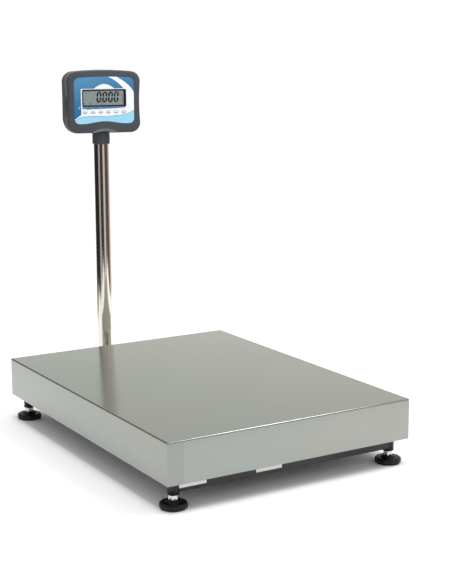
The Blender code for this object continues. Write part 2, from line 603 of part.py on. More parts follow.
def column_tube():
    """The stainless column."""
    outer = circle(COLUMN_RADIUS, ROUND)
    inner = circle(COLUMN_RADIUS - COLUMN_WALL, ROUND)
    mesh = pipe(outer, inner, COLUMN_BOTTOM, COLUMN_TOP)
    add("column_tube", mesh, "polished_stainless", None, (0, COLUMN_Y, 0))


def level_vial():
    """Bull's-eye level on the bracket, between the platter and the column."""
    at = (0, (BACK_Y + COLUMN_Y - FLANGE_LENGTH / 2) / 2, FLANGE_BOTTOM)
    profile = [(VIAL_RADIUS, 0), (VIAL_RADIUS, VIAL_HEIGHT * 0.8), (VIAL_RADIUS * 0.85, VIAL_HEIGHT)]
    add("level_vial", turned(profile, SMALL_ROUND), "vial_acrylic", None, at)


def cable_drop_y():
    """Where the signal cable goes down, between the rear bar and the platter's rear skirt."""
    rear_face = BACK_Y - FOOT_INSET_Y + BASE_BAR_WIDTH / 2
    return (rear_face + BACK_Y - PLATTER_SHEET) / 2


def signal_cable():
    """The load cell's cable: over the base, down into the bracket, and up inside the column."""
    over_base = BASE_TOP + CABLE_RADIUS + CABLE_LIFT
    in_bracket = BASE_BOTTOM + BRACKET_WALL + CABLE_RADIUS + CABLE_LIFT
    drop_y = cable_drop_y()
    cell_end = MIDDLE_Y + CELL_LENGTH / 2 + FIT_GAP
    bar_y = BACK_Y - FOOT_INSET_Y
    route = [
        (cell_end, CELL_BOTTOM + CELL_HEIGHT / 2), (cell_end + 0.012, CELL_BOTTOM + CELL_HEIGHT / 2),
        (cell_end + 0.035, over_base + 0.008), (cell_end + 0.060, over_base), (bar_y - 0.040, over_base),
        (bar_y, over_base), (drop_y - 0.007, over_base - 0.0006), (drop_y - 0.001, over_base - 0.006),
        (drop_y, BASE_BOTTOM + BRACKET_HEIGHT + 0.006), (drop_y + 0.0005, BASE_BOTTOM + BRACKET_HEIGHT),
        (drop_y + 0.006, in_bracket + 0.002), (drop_y + 0.016, in_bracket), (COLUMN_Y - 0.016, in_bracket),
        (COLUMN_Y - 0.006, in_bracket + 0.002), (COLUMN_Y - 0.0005, BASE_BOTTOM + BRACKET_HEIGHT),
        (COLUMN_Y, FLANGE_BOTTOM + 0.008), (COLUMN_Y, COLUMN_BOTTOM + 0.060), (COLUMN_Y, COLUMN_TOP - 0.050),
        (COLUMN_Y, COLUMN_TOP + COLLAR_HEIGHT / 2),
    ]
    points = smooth_route([Vector((0, along, level)) for along, level in route])
    data = bpy.data.curves.new("signal_cable", "CURVE")
    data.dimensions = "3D"
    data.bevel_depth = CABLE_RADIUS
    data.bevel_resolution = 2
    data.use_fill_caps = True
    data.materials.append(material("signal_cable_finish", *FINISHES["cable_jacket"]))
    spline = data.splines.new("POLY")
    spline.points.add(len(points) - 1)
    for target, point in zip(spline.points, points):
        target.co = (*point, 1.0)
    cable = bpy.data.objects.new("signal_cable", data)
    bpy.context.scene.collection.objects.link(cable)


def smooth_route(route, steps=3):
    """Read a smooth curve through the route's points; a few steps to each stretch."""
    points = []
    for index in range(len(route) - 1):
        before = route[max(index - 1, 0)]
        start, stop = route[index], route[index + 1]
        after = route[min(index + 2, len(route) - 1)]
        length = (stop - start).length
        leave = (stop - before).normalized() * length
        arrive = (after - start).normalized() * length
        for step in range(steps):
            t = step / steps
            blend = ((2 * t**3 - 3 * t**2 + 1) * start + (t**3 - 2 * t**2 + t) * leave
                     + (3 * t**2 - 2 * t**3) * stop + (t**3 - t**2) * arrive)
            points.append(blend)
    points.append(route[-1])
    return points


# ------------------------------------------------------------------ indicator
def case_outline(inset, lift=0.0, steps=6, spans=6):
    """Outline of the casing seen from the front, set in all round; its top is crowned, its sides waisted."""
    width = CASE_WIDTH - 2 * inset
    height = CASE_HEIGHT - CASE_CROWN - 2 * inset - lift
    centre_z = CASE_MIDDLE_Z - CASE_CROWN / 2 + lift / 2
    top_radius = max(CASE_TOP_RADIUS - inset, CASE_CORNER_LEAST)
    bottom_radius = max(CASE_BOTTOM_RADIUS - inset, CASE_CORNER_LEAST)
    corners = (
        (1, 1, top_radius), (-1, 1, top_radius), (-1, -1, bottom_radius), (1, -1, bottom_radius),
    )
    return shaped_outline(width, height, corners, centre_z, CASE_CROWN, CASE_WAIST, steps, spans)


def shaped_outline(width, height, corners, centre_z, crown, waist, steps, spans):
    """Rounded rectangle in X and Z whose top edge bows up and whose sides draw in at mid height."""
    arcs = []
    for quarter, (sign_x, sign_z, radius) in enumerate(corners):
        centre = Vector((sign_x * (width / 2 - radius), sign_z * (height / 2 - radius)))
        angles = [(quarter + step / steps) * math.pi / 2 for step in range(steps + 1)]
        arcs.append([centre + radius * Vector((math.cos(a), math.sin(a))) for a in angles])
    points = []
    for arc, following in zip(arcs, arcs[1:] + arcs[:1]):
        points += arc
        points += [arc[-1].lerp(following[0], step / spans) for step in range(1, spans)]
    shaped = []
    for point in points:
        across = 2 * point.x / width
        up = 2 * point.y / height
        rise = crown * (1 - across**2) * max(up, 0)
        draw = waist * (1 - up**2) * across
        shaped.append(Vector((point.x - draw, point.y + rise + centre_z)))
    return shaped


def upright_ring(points, depth):
    """Place a front outline of X and Z at a depth along Y."""
    return [Vector((point.x, depth, point.y)) for point in points]


def case_block(stations):
    """A solid in the casing's outline; each station is a depth, an inset and a lift of its lower edge."""
    return loft([upright_ring(case_outline(inset, lift), depth) for depth, inset, lift in stations])


def block(low, high):
    """A box between two corners."""
    size_x, size_y, size_z = (b - a for a, b in zip(low, high))
    centre = [(a + b) / 2 for a, b in zip(low, high)]
    points = [p + Vector(centre[:2]) for p in rounded_rectangle(size_x, size_y, 0.0008, 1)]
    return prism(points, centre[2] - size_z / 2, centre[2] + size_z / 2)


def pocket_blocks(wall):
    """The two stages of the pocket that the column head stands in, grown by a wall."""
    half = POCKET_WIDTH / 2 + wall
    back = CASE_BACK + 2 * CUT_PAST
    floor = CASE_BOTTOM_Z - 2 * CUT_PAST
    mouth_top = CASE_BOTTOM_Z + POCKET_MOUTH_HEIGHT
    return (
        ((-half, -POCKET_MOUTH_FRONT - wall, floor), (half, back, mouth_top + wall)),
        ((-half, -POCKET_FRONT - wall, floor), (half, back, TILT_Z + POCKET_TOP + wall)),
    )


def panel_outline(inset):
    """Outline of the printed panel: crowned top, and a hump in the middle of its lower edge."""
    width = PANEL_WIDTH - 2 * inset
    height = PANEL_TOP_Z - PANEL_BOTTOM_Z - PANEL_CROWN - 2 * inset
    centre_z = (PANEL_TOP_Z + PANEL_BOTTOM_Z - PANEL_CROWN) / 2
    radius = PANEL_RADIUS - inset
    corners = ((1, 1, radius), (-1, 1, radius), (-1, -1, radius), (1, -1, radius))
    points = shaped_outline(width, height, corners, centre_z, PANEL_CROWN, 0.0, 4, 16)
    humped = []
    for point in points:
        below = point.y < centre_z
        reach = min(abs(point.x) / PANEL_HUMP_WIDTH, 1)
        rise = PANEL_HUMP * (0.5 + 0.5 * math.cos(math.pi * reach)) if below and reach < 1 else 0
        humped.append(Vector((point.x, point.y + rise)))
    return humped


def key_places():
    """X of each key, from left to right."""
    return [(index - (KEY_COUNT - 1) / 2) * KEY_PITCH for index in range(KEY_COUNT)]


def upright_prism(points, front, back):
    """A straight solid of a front outline between two depths."""
    return loft([upright_ring(points, front), upright_ring(points, back)])


def window_outline(grow):
    """Outline of the display window, grown all round."""
    points = rounded_rectangle(WINDOW_WIDTH + 2 * grow, WINDOW_HEIGHT + 2 * grow, WINDOW_RADIUS + grow)
    return [Vector((point.x, point.y + WINDOW_Z)) for point in points]


def board_post_places():
    """X and Z of the four posts behind the face that carry the main board."""
    reach_x = BOARD_WIDTH / 2 - POST_INSET
    levels = (BOARD_BOTTOM_Z + POST_INSET, BOARD_TOP_Z - POST_INSET)
    return [(side * reach_x, level) for side in (-1, 1) for level in levels]


def hollow_out(shell, stations):
    """Cut a shell's hollow, leave the walls round the pocket, and open the pocket."""
    hollow = boolean(shell, shell.name + "_hollow", case_block(stations))
    for index, (low, high) in enumerate(pocket_blocks(CASE_WALL)):
        boolean(hollow, f"{shell.name}_pocket_wall_{index + 1}", block(low, high))
    for index, (low, high) in enumerate(pocket_blocks(0)):
        boolean(shell, f"{shell.name}_pocket_{index + 1}", block(low, high))


def front_housing(parent):
    """Front shell: a rounded bezel round a shallow recess, hollow behind."""
    front, split = -CASE_FRONT, -CASE_SPLIT - FIT_GAP / 2
    outside = [(front + depth, inset, 0) for depth, inset in BEZEL_PROFILE] + [(split, 0, 0)]
    inside = [(FACE_INSIDE + depth, inset, 0) for depth, inset in FACE_HOLLOW_PROFILE]
    shell = add("front_housing", case_block(outside), "housing_plastic", parent, CASE_AT)
    hollow_out(shell, inside + [(split + CUT_PAST, CASE_WALL, 0)])
    for index, (post_x, post_z) in enumerate(board_post_places()):
        post = prism(circle(POST_RADIUS, SMALL_ROUND), PANEL_FLOOR + CASE_FACE / 2, BOARD_FRONT - FIT_GAP)
        boolean(shell, f"board_post_{index + 1}", post, "UNION", at=(post_x, 0, post_z), turn=ALONG_Y)
    for index, key_x in enumerate(key_places()):
        hole = prism(circle(KEY_STEM_RADIUS + KEY_CLEARANCE, SMALL_ROUND), 0, CUT_PAST)
        at = (key_x, PANEL_FLOOR - CUT_PAST / 2, KEY_Z)
        boolean(shell, f"key_stem_hole_{index + 1}", hole, at=at, turn=ALONG_Y)
    recess = upright_prism(panel_outline(-FIT_GAP), front - CUT_PAST, PANEL_FLOOR)
    boolean(shell, "panel_recess", recess)
    opening = upright_prism(window_outline(FIT_GAP), front - CUT_PAST, FACE_INSIDE + CUT_PAST / 2)
    boolean(shell, "window_opening", opening)
    drop = ARCH_HEIGHT * math.cos(ARCH_SLOPE)
    radius = (ARCH_WIDTH**2 / 4 + drop**2) / (2 * drop)
    arch_z = CASE_BOTTOM_Z + ARCH_HEIGHT - radius / math.cos(ARCH_SLOPE)
    turn = (-math.radians(90) - ARCH_SLOPE, 0, 0)
    scoop = prism(circle(radius, 3 * ROUND), -ARCH_WIDTH, ARCH_WIDTH)
    boolean(shell, "arch_scoop", scoop, at=(0, front, arch_z), turn=turn)


def rear_cover(parent):
    """Rear shell: tapered to the back, its lower edge slanted up, with the tilt pin's bearings."""
    split, back = -CASE_SPLIT + FIT_GAP / 2, CASE_BACK
    outside = [(back - depth, inset, lift) for depth, inset, lift in REAR_PROFILE]
    inside = [(back - depth - CASE_WALL, inset + CASE_WALL, lift) for depth, inset, lift in REAR_PROFILE]
    outside = [(split, 0, 0)] + outside + [(back, REAR_EDGE_INSET, REAR_LIFT)]
    inside = [(split - CUT_PAST, CASE_WALL, 0)] + inside + [(back - CASE_WALL, REAR_EDGE_INSET, REAR_LIFT)]
    shell = add("rear_cover", case_block(outside), "cover_plastic", parent, CASE_AT)
    hollow_out(shell, inside)
    bearing = prism(circle(TILT_PIN_RADIUS + SLIDE_GAP, SMALL_ROUND), -POCKET_WIDTH, POCKET_WIDTH)
    boolean(shell, "tilt_bearing", bearing, at=(0, 0, TILT_Z), turn=ALONG_X)


def tilt_pin(parent):
    """The pin that the casing tilts on; it turns with the casing."""
    reach = POCKET_WIDTH / 2 + 2 * CASE_WALL
    add("tilt_pin", prism(circle(TILT_PIN_RADIUS, SMALL_ROUND), -reach, reach), "zinc", parent, turn=ALONG_X)


def column_head(parent):
    """Plug, collar and neck in one: it turns in the column and carries the tilt pin."""
    plug = COLUMN_RADIUS - COLUMN_WALL - FIT_GAP
    seat = COLUMN_TOP + FIT_GAP
    top = COLUMN_TOP + COLLAR_HEIGHT
    head = add("column_head", turned([
        (plug - COLLAR_EDGE, COLUMN_TOP - SPIGOT_LENGTH), (plug, COLUMN_TOP - SPIGOT_LENGTH + COLLAR_EDGE),
        (plug, seat), (COLLAR_RADIUS - COLLAR_EDGE, seat), (COLLAR_RADIUS, seat + COLLAR_EDGE),
        (COLLAR_RADIUS, top - COLLAR_EDGE), (COLLAR_RADIUS - COLLAR_EDGE, top),
    ], ROUND), "housing_plastic", parent)
    half = NECK_DEPTH / 2
    crest = [Vector((half * math.cos(a), TILT_Z + half * math.sin(a)))
             for a in (math.pi * step / 12 for step in range(13))]
    side = crest + [Vector((-half, top - NECK_ROOT)), Vector((half, top - NECK_ROOT))]
    neck = loft([[Vector((across, point.x, point.y)) for point in side]
                 for across in (-NECK_WIDTH / 2, NECK_WIDTH / 2)])
    boolean(head, "head_neck", neck, "UNION")
    pin_bore = prism(circle(TILT_PIN_RADIUS + SLIDE_GAP, SMALL_ROUND), -NECK_WIDTH, NECK_WIDTH)
    boolean(head, "head_pin_bore", pin_bore, at=(0, 0, TILT_Z), turn=ALONG_X)
    cable_bore = prism(circle(CABLE_BORE_RADIUS, SMALL_ROUND), COLUMN_TOP - 2 * SPIGOT_LENGTH, top)
    boolean(head, "head_cable_bore", cable_bore)


def display_panel(parent):
    """The printed panel with its window, and the keys in their holes."""
    front, back = PANEL_FLOOR - FIT_GAP - PANEL_THICKNESS, PANEL_FLOOR - FIT_GAP
    panel = add("display_panel", upright_prism(panel_outline(0), front, back), "panel_film", parent, CASE_AT)
    opening = upright_prism(window_outline(FIT_GAP), front - CUT_PAST / 2, back + CUT_PAST / 2)
    boolean(panel, "panel_window", opening)
    for index, key_x in enumerate(key_places()):
        hole = prism(circle(KEY_RADIUS + KEY_CLEARANCE, ROUND), -CUT_PAST / 2, CUT_PAST / 2)
        boolean(panel, f"panel_key_hole_{index + 1}", hole, at=(key_x, front, KEY_Z), turn=ALONG_Y)
    window = upright_prism(window_outline(0), front, front + WINDOW_THICKNESS)
    add("display_window", window, "window_clear", parent, CASE_AT)


def keys(parent):
    """Six round keys, each with a stem through the face."""
    profile = [
        (KEY_RADIUS - 2 * KEY_EDGE, 0), (KEY_RADIUS, KEY_EDGE), (KEY_RADIUS, KEY_HEIGHT),
        (KEY_STEM_RADIUS, KEY_HEIGHT), (KEY_STEM_RADIUS, KEY_HEIGHT + KEY_STEM_LENGTH),
    ]
    for index, key_x in enumerate(key_places()):
        at = (key_x, KEY_FRONT, KEY_Z - TILT_Z)
        add(f"key_{index + 1}", turned(profile, SMALL_ROUND), "key_film", parent, at, ALONG_Y)


def electronics(parent):
    """The display module, the main board and the battery."""
    lcd_z = WINDOW_Z - LCD_HEIGHT / 2
    lcd_y = FACE_INSIDE + FIT_GAP
    mesh = block((-LCD_WIDTH / 2, lcd_y, lcd_z), (LCD_WIDTH / 2, lcd_y + LCD_THICKNESS, lcd_z + LCD_HEIGHT))
    add("lcd_module", mesh, "lcd_glass", parent, CASE_AT)
    low = (-BOARD_WIDTH / 2, BOARD_FRONT, BOARD_BOTTOM_Z)
    high = (BOARD_WIDTH / 2, BOARD_FRONT + BOARD_THICKNESS, BOARD_TOP_Z)
    add("main_board", block(low, high), "board_green", parent, CASE_AT)
    width, depth, height = BATTERY_SIZE
    back = CASE_BACK - CASE_WALL - FIT_GAP
    floor = TILT_Z + POCKET_TOP + CASE_WALL + BATTERY_RISE
    mesh = block((-width / 2, back - depth, floor), (width / 2, back, floor + height))
    add("battery_pack", mesh, "battery_wrap", parent, CASE_AT)


def indicator():
    """Everything that turns on the column."""
    swivel = pivot("swivel_axis", (0, COLUMN_Y, 0), (0, 0, SWIVEL_REST))
    column_head(swivel)
    tilt = pivot("tilt_axis", (0, 0, TILT_Z), parent=swivel)
    tilt_pin(tilt)
    front_housing(tilt)
    rear_cover(tilt)
    display_panel(tilt)
    keys(tilt)
    electronics(tilt)


def main():
    for old in list(bpy.context.scene.objects):
        bpy.data.objects.remove(old, do_unlink=True)
    base_frame()
    foot_bosses()
    levelling_feet()
    load_cell()
    cell_spacers()
    cell_bolt_set()
    load_frame()
    buffers_and_stops()
    platter()
    column_bracket()
    column_socket()
    column_tube()
    level_vial()
    signal_cable()
    indicator()
    bpy.context.view_layer.update()


main()
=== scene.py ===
"""Bench scale: the visible pieces of a platform scale with a display on a column, built around its frame."""

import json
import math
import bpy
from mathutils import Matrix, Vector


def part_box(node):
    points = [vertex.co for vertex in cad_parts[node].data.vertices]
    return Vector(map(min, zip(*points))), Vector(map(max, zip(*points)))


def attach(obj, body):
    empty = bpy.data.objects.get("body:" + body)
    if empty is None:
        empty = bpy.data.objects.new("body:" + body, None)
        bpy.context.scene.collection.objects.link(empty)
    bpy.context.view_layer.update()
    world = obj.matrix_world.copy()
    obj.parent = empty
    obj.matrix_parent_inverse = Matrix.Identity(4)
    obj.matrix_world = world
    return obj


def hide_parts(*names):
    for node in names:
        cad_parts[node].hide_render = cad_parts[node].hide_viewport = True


bl_info = {
    "name": "Bench scale",
    "version": (1, 0, 0),
    "blender": (4, 5, 0),
    "location": "3D View > Sidebar > Bench scale",
    "description": "Builds the visible pieces of a bench scale around its frame, and a stage to see it on",
    "category": "Object",
}

import bmesh
import bpy
from bpy.props import FloatProperty, FloatVectorProperty, IntProperty, PointerProperty
from mathutils import Matrix, Vector

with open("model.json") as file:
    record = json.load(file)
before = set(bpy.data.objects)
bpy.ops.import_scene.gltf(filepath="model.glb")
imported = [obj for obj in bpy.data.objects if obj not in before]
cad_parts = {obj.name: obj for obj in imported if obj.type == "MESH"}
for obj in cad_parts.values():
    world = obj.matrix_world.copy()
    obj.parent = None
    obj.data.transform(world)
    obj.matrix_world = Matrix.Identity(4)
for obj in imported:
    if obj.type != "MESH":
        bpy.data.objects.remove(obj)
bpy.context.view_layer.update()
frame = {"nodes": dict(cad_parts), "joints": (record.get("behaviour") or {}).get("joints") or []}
CORNERS = ("front_left", "front_right", "rear_left", "rear_right")


# ------------------------------------------------------------------ what the frame says
def joint(name):
    """One joint of the frame, by name."""
    return next(entry for entry in frame["joints"] if entry["name"] == name)


def case_place():
    """The casing's own axes at the tilt axis: X to its right, Y to its back, Z up."""
    tilt = joint("indicator_tilt")
    right = -Vector(tilt["axis"]).normalized()
    up = Vector((0, 0, 1))
    back = up.cross(right)
    turn = Matrix((right, back, up)).transposed().to_4x4()
    return Matrix.Translation(tilt["pos_m"]) @ turn


CASE = case_place()


def case_box(node):
    """Lowest and highest corner of a node in the casing's own axes."""
    inside = CASE.inverted()
    corners = [inside @ vertex.co for vertex in frame["nodes"][node].data.vertices]
    low = Vector([min(corner[axis] for corner in corners) for axis in range(3)])
    high = Vector([max(corner[axis] for corner in corners) for axis in range(3)])
    return low, high


def middle(node):
    """Middle of a node's box."""
    low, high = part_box(node)
    return (low + high) / 2


def upright(node, level):
    """A place on a node's upright middle line, at a height."""
    centre = middle(node)
    return Matrix.Translation((centre.x, centre.y, level))


FRONT_LOW, FRONT_HIGH = case_box("front_housing")
REAR_LOW, REAR_HIGH = case_box("rear_cover")
PANEL_LOW, PANEL_HIGH = case_box("display_panel")
WINDOW_LOW, WINDOW_HIGH = case_box("display_window")
WINDOW_MIDDLE = (WINDOW_LOW + WINDOW_HIGH) / 2
CASE_MIDDLE_Z = (FRONT_LOW.z + FRONT_HIGH.z) / 2
CASE_HALF_WIDTH = max(-FRONT_LOW.x, FRONT_HIGH.x)
POCKET_HALF = 0.024                         # the hollow under the casing that the column's head stands in
POCKET_MOUTH_FRONT = -0.037
POCKET_MOUTH_TOP = FRONT_LOW.z + 0.0205
POCKET_FRONT = -0.018
POCKET_TOP = 0.012
PAST = 0.01                                 # how far a cutter reaches past what it cuts
PLAY = 0.0003                               # gap round the panel and the window
SEAM_STEP = 0.0006                          # the fine step where the two shells meet
ALONG_Y = Matrix.Rotation(math.radians(-90), 4, "X")       # lays a shape turned about Z along Y


def shade(red, green, blue):
    """Scene-linear colour of a screen colour given in steps of 255."""
    def linear(value):
        value /= 255
        return value / 12.92 if value <= 0.04045 else ((value + 0.055) / 1.055) ** 2.4
    return tuple(linear(value) for value in (red, green, blue))


# ------------------------------------------------------------------ sizes and colours a user may change
def length(name, text, default):
    """A length setting, in metres."""
    return FloatProperty(name=name, description=text, default=default, min=0.0, precision=5, unit="LENGTH")


def colour(name, text, default):
    """A colour setting."""
    return FloatVectorProperty(name=name, description=text, default=default, min=0, max=1, subtype="COLOR")


class ScaleColours(bpy.types.PropertyGroup):
    """Colours of the finishes."""

    steel: colour("Platter steel", "Colour of the satin stainless sheet", shade(154, 157, 153))
    column: colour("Column steel", "Colour of the polished tube", shade(226, 221, 212))
    paint: colour("Frame paint", "Powder coat of the base and load frame", shade(38, 36, 39))
    zinc: colour("Zinc", "Plating of nuts, studs and screws", shade(214, 218, 222))
    aluminium: colour("Load cell", "Machined aluminium", shade(196, 198, 201))
    rubber: colour("Foot", "Black moulded levelling pads", shade(9, 9, 10))
    housing: colour("Housing", "Front shell and column head", shade(66, 70, 78))
    cover: colour("Rear cover", "Rear shell", shade(72, 71, 61))
    blue_top: colour("Panel blue, upper", "Printed blue at the panel's top", shade(80, 142, 182))
    blue_low: colour("Panel blue, lower", "Printed blue at the panel's foot", shade(8, 100, 154))
    cyan: colour("Panel cyan", "Printed light band along the panel's foot", shade(158, 218, 243))
    white: colour("Panel white", "Printed white of the panel and keys", shade(246, 249, 252))
    lcd: colour("Display", "Reflective ground of the display", shade(146, 154, 155))
    ink: colour("Display figures", "Dark segments of the display", shade(5, 7, 8))


class PlatterSizes(bpy.types.PropertyGroup):
    """Sizes of the folded pan."""

    sheet: length("Sheet", "Thickness of the stainless sheet", 0.0015)
    bend: length("Bend", "Outer radius of the folded edges", 0.0035)
    corner: length("Corner", "Radius of the upright corners", 0.0026)
    seam: length("Seam", "Depth of the closed seam down each corner", 0.00035)


class CaseSizes(bpy.types.PropertyGroup):
    """Sizes of the display's casing."""

    crown: length("Crown", "How far the top edge bows up", 0.006)
    waist: length("Waist", "How far the sides draw in at mid height", 0.0045)
    top_radius: length("Top corners", "Radius of the upper corners", 0.024)
    bottom_radius: length("Bottom corners", "Radius of the lower corners", 0.028)
    wall: length("Wall", "Thickness of the shells", 0.0025)
    nose: length("Nose", "How far the rounded front edge runs in over the face", 0.0055)
    nose_depth: length("Nose depth", "How far the rounded front edge runs back", 0.009)
    arch_width: length("Arch width", "Width of the scoop over the collar", 0.064)
    arch_height: length("Arch height", "Height of the scoop over the collar", 0.0090)
    # The bead round the scoop is pale with painted sheen, standing in for the light the scoop catches from
    # the floor below.
    arch_sheen_band: length("Arch lining", "Width of the pale bead round the scoop", 0.0020)
    grip_depth: length("Grip depth", "Depth of the hollows in the sides", 0.0045)
    rear_lift: length("Rear lift", "How far the back's lower edge slants up", 0.020)


class DisplaySizes(bpy.types.PropertyGroup):
    """Sizes of the display's figures and keys."""

    digit_height: length("Digit height", "Height of a figure", 0.0270)
    digit_width: length("Digit width", "Width of a figure", 0.0126)
    digit_pitch: length("Digit pitch", "Distance between figures", 0.0148)
    stroke: length("Stroke", "Width of a segment", 0.0043)
    digit_slant: FloatProperty(name="Slant", description="Lean of the figures", default=math.radians(5),
                               subtype="ANGLE")
    print_film: length("Print", "Thickness of each printed layer", 0.00006)
    arc_width: length("Key arc", "Width of the arc under each key's sign", 0.0020)


class FootSizes(bpy.types.PropertyGroup):
    """Sizes of the levelling feet."""

    lobes: IntProperty(name="Lobes", description="Finger grooves round the pad", default=10, min=3)
    groove: length("Groove", "Depth of a finger groove", 0.0016)
    pitch: length("Thread pitch", "Pitch of the stud's thread", 0.00175)
    thread_depth: length("Thread depth", "Depth of the stud's thread", 0.0009)


class StageSettings(bpy.types.PropertyGroup):
    """Camera and light."""

    lens: FloatProperty(name="Lens", description="Focal length of the camera, in millimetres", default=79.95)
    camera_at: FloatVectorProperty(name="Camera", description="Place of the camera", subtype="TRANSLATION",
                                   default=(-1.447, -2.5875, 0.9175))
    yaw: FloatProperty(name="Yaw", description="Camera's turn from +Y towards +X", subtype="ANGLE",
                       default=math.radians(31.14))
    pitch: FloatProperty(name="Pitch", description="How far the camera looks down", subtype="ANGLE",
                         default=math.radians(11.08))
    roll: FloatProperty(name="Roll", description="Camera's roll", subtype="ANGLE",
                        default=math.radians(-0.19))
    floor_reach: length("Floor", "Half the width of the floor", 1.30)


GROUPS = {
    "scale_colours": ScaleColours,
    "scale_platter": PlatterSizes,
    "scale_case": CaseSizes,
    "scale_display": DisplaySizes,
    "scale_feet": FootSizes,
    "scale_stage": StageSettings,
}


# ------------------------------------------------------------------ shapes
def circle(radius, count, phase=0.0):
    """Plane points of a circle."""
    angles = [phase + 2 * math.pi * step / count for step in range(count)]
    return [Vector((radius * math.cos(angle), radius * math.sin(angle))) for angle in angles]


def shifted(points, across, up):
    """Plane points moved."""
    return [point + Vector((across, up)) for point in points]


def rounded_rectangle(width, height, radius, steps=4):
    """Plane points of a rounded rectangle about the origin."""
    points = []
    for quarter in range(4):
        sign_x = 1 if quarter in (0, 3) else -1
        sign_y = 1 if quarter in (0, 1) else -1
        centre = Vector((sign_x * (width / 2 - radius), sign_y * (height / 2 - radius)))
        for step in range(steps + 1):
            angle = (quarter + step / steps) * math.pi / 2
            points.append(centre + radius * Vector((math.cos(angle), math.sin(angle))))
    return points


def lying(points, level):
    """Plane points laid at a height."""
    return [Vector((point.x, point.y, level)) for point in points]


def standing(points, depth):
    """Plane points stood up at a depth, their second value as height."""
    return [Vector((point.x, depth, point.y)) for point in points]


def loft(rings, closed=False):
    """Skin a row of equal rings, capping the two ends, or joining them when the row is closed."""
    mesh = bmesh.new()
    rows = [[mesh.verts.new(point) for point in ring] for ring in rings]
    pairs = list(zip(rows, rows[1:]))
    if closed:
        pairs.append((rows[-1], rows[0]))
    for lower, upper in pairs:
        for index in range(len(lower)):
            follower = (index + 1) % len(lower)
            mesh.faces.new((lower[index], lower[follower], upper[follower], upper[index]))
    if not closed:
        mesh.faces.new(rows[0])
        mesh.faces.new(rows[-1])
    bmesh.ops.recalc_face_normals(mesh, faces=mesh.faces)
    return mesh


def prism(points, bottom, top):
    """A straight solid of one outline, lying."""
    return loft([lying(points, bottom), lying(points, top)])


def slab(points, front, back):
    """A straight solid of one outline, standing."""
    return loft([standing(points, front), standing(points, back)])


def turned(profile, count, closed=False):
    """Turn a profile of (radius, height) points about Z; a closed one makes a ring."""
    return loft([lying(circle(radius, count), height) for radius, height in profile], closed)


def smooth_line(points, steps=6):
    """A smooth curve through plane points."""
    line = []
    for index in range(len(points) - 1):
        before, after = points[max(index - 1, 0)], points[min(index + 2, len(points) - 1)]
        start, stop = points[index], points[index + 1]
        for step in range(steps):
            t = step / steps
            line.append(0.5 * (2 * start + (stop - before) * t
                               + (2 * before - 5 * start + 4 * stop - after) * t**2
                               + (3 * start - before - 3 * stop + after) * t**3))
    line.append(points[-1])
    return line


def mesh_data(name, mesh):
    """The data block of a mesh, which is used up."""
    data = bpy.data.meshes.new(name)
    mesh.to_mesh(data)
    mesh.free()
    return data


def placed(name, data):
    """A new object in the scene."""
    made = bpy.data.objects.new(name, data)
    bpy.context.scene.collection.objects.link(made)
    return made


def joined(parts):
    """One mesh of several."""
    whole = bmesh.new()
    for part in parts:
        data = mesh_data("part", part)
        whole.from_mesh(data)
        bpy.data.meshes.remove(data)
    return whole


def moved(mesh, place):
    """The same mesh, moved."""
    bmesh.ops.transform(mesh, matrix=place, verts=mesh.verts)
    return mesh


def head_collection():
    """The pieces up at the display, which a soft light of their own shines on."""
    made = bpy.data.collections.get("display_head")
    return made or bpy.data.collections.new("display_head")


def piece(name, mesh, tint, body, replaces=(), place=None, smooth=40):
    """Add a visible piece: its mesh, finish, body, and the frame nodes it stands for."""
    if place is not None:
        moved(mesh, place)
    data = mesh_data(name, mesh)
    data.shade_smooth()
    data.set_sharp_from_angle(angle=math.radians(smooth))
    data.materials.append(finish(tint))
    made = placed(name, data)
    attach(made, body)
    if replaces:
        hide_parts(*replaces)
    if body in ("indicator", "column_head") or body.startswith("key_"):
        head_collection().objects.link(made)
    return made


def carve(mesh, tools, operation="DIFFERENCE"):
    """A mesh with others cut from it, joined on or kept inside, one after another."""
    block = placed("carved", mesh_data("carved", mesh))
    blades = [placed("blade", mesh_data("blade", tool)) for tool in tools]
    for blade in blades:
        modifier = block.modifiers.new("carve", "BOOLEAN")
        modifier.operation = operation
        modifier.object = blade
    graph = bpy.context.evaluated_depsgraph_get()
    result = bmesh.new()
    result.from_mesh(block.evaluated_get(graph).to_mesh())
    for spare in [block, *blades]:
        data = spare.data
        bpy.data.objects.remove(spare)
        bpy.data.meshes.remove(data)
    return result


def eased(made, width):
    """Round off a piece's edges a little."""
    modifier = made.modifiers.new("eased edges", "BEVEL")
    modifier.width = width
    modifier.segments = 2
    modifier.limit_method = "ANGLE"
    modifier.angle_limit = math.radians(35)
    modifier.use_clamp_overlap = True


def dress(node, tint, eased_by=0.0):
    """Give a frame node its finish, and smooth its round faces."""
    made = frame["nodes"][node]
    made.data.materials.clear()
    made.data.materials.append(finish(tint))
    weld = made.modifiers.new("weld", "WELD")
    weld.merge_threshold = 0.00001
    if eased_by:
        eased(made, eased_by)
    made.data.shade_smooth()
    bpy.context.view_layer.objects.active = made
    for other in bpy.context.selected_objects:
        other.select_set(False)
    made.select_set(True)
    bpy.ops.object.shade_auto_smooth(angle=math.radians(38))


# ------------------------------------------------------------------ finishes
def colour_ramp(tree, value, stops):
    """A value turned into a colour through a row of (place, colour) stops."""
    node = tree.nodes.new("ShaderNodeValToRGB")
    band = node.color_ramp
    while len(band.elements) < len(stops):
        band.elements.new(0.5)
    for element, (place, tint) in zip(band.elements, stops):
        element.position = place
        element.color = (*tint, 1.0)
    tree.links.new(value, node.inputs["Fac"])
    return node.outputs["Color"]


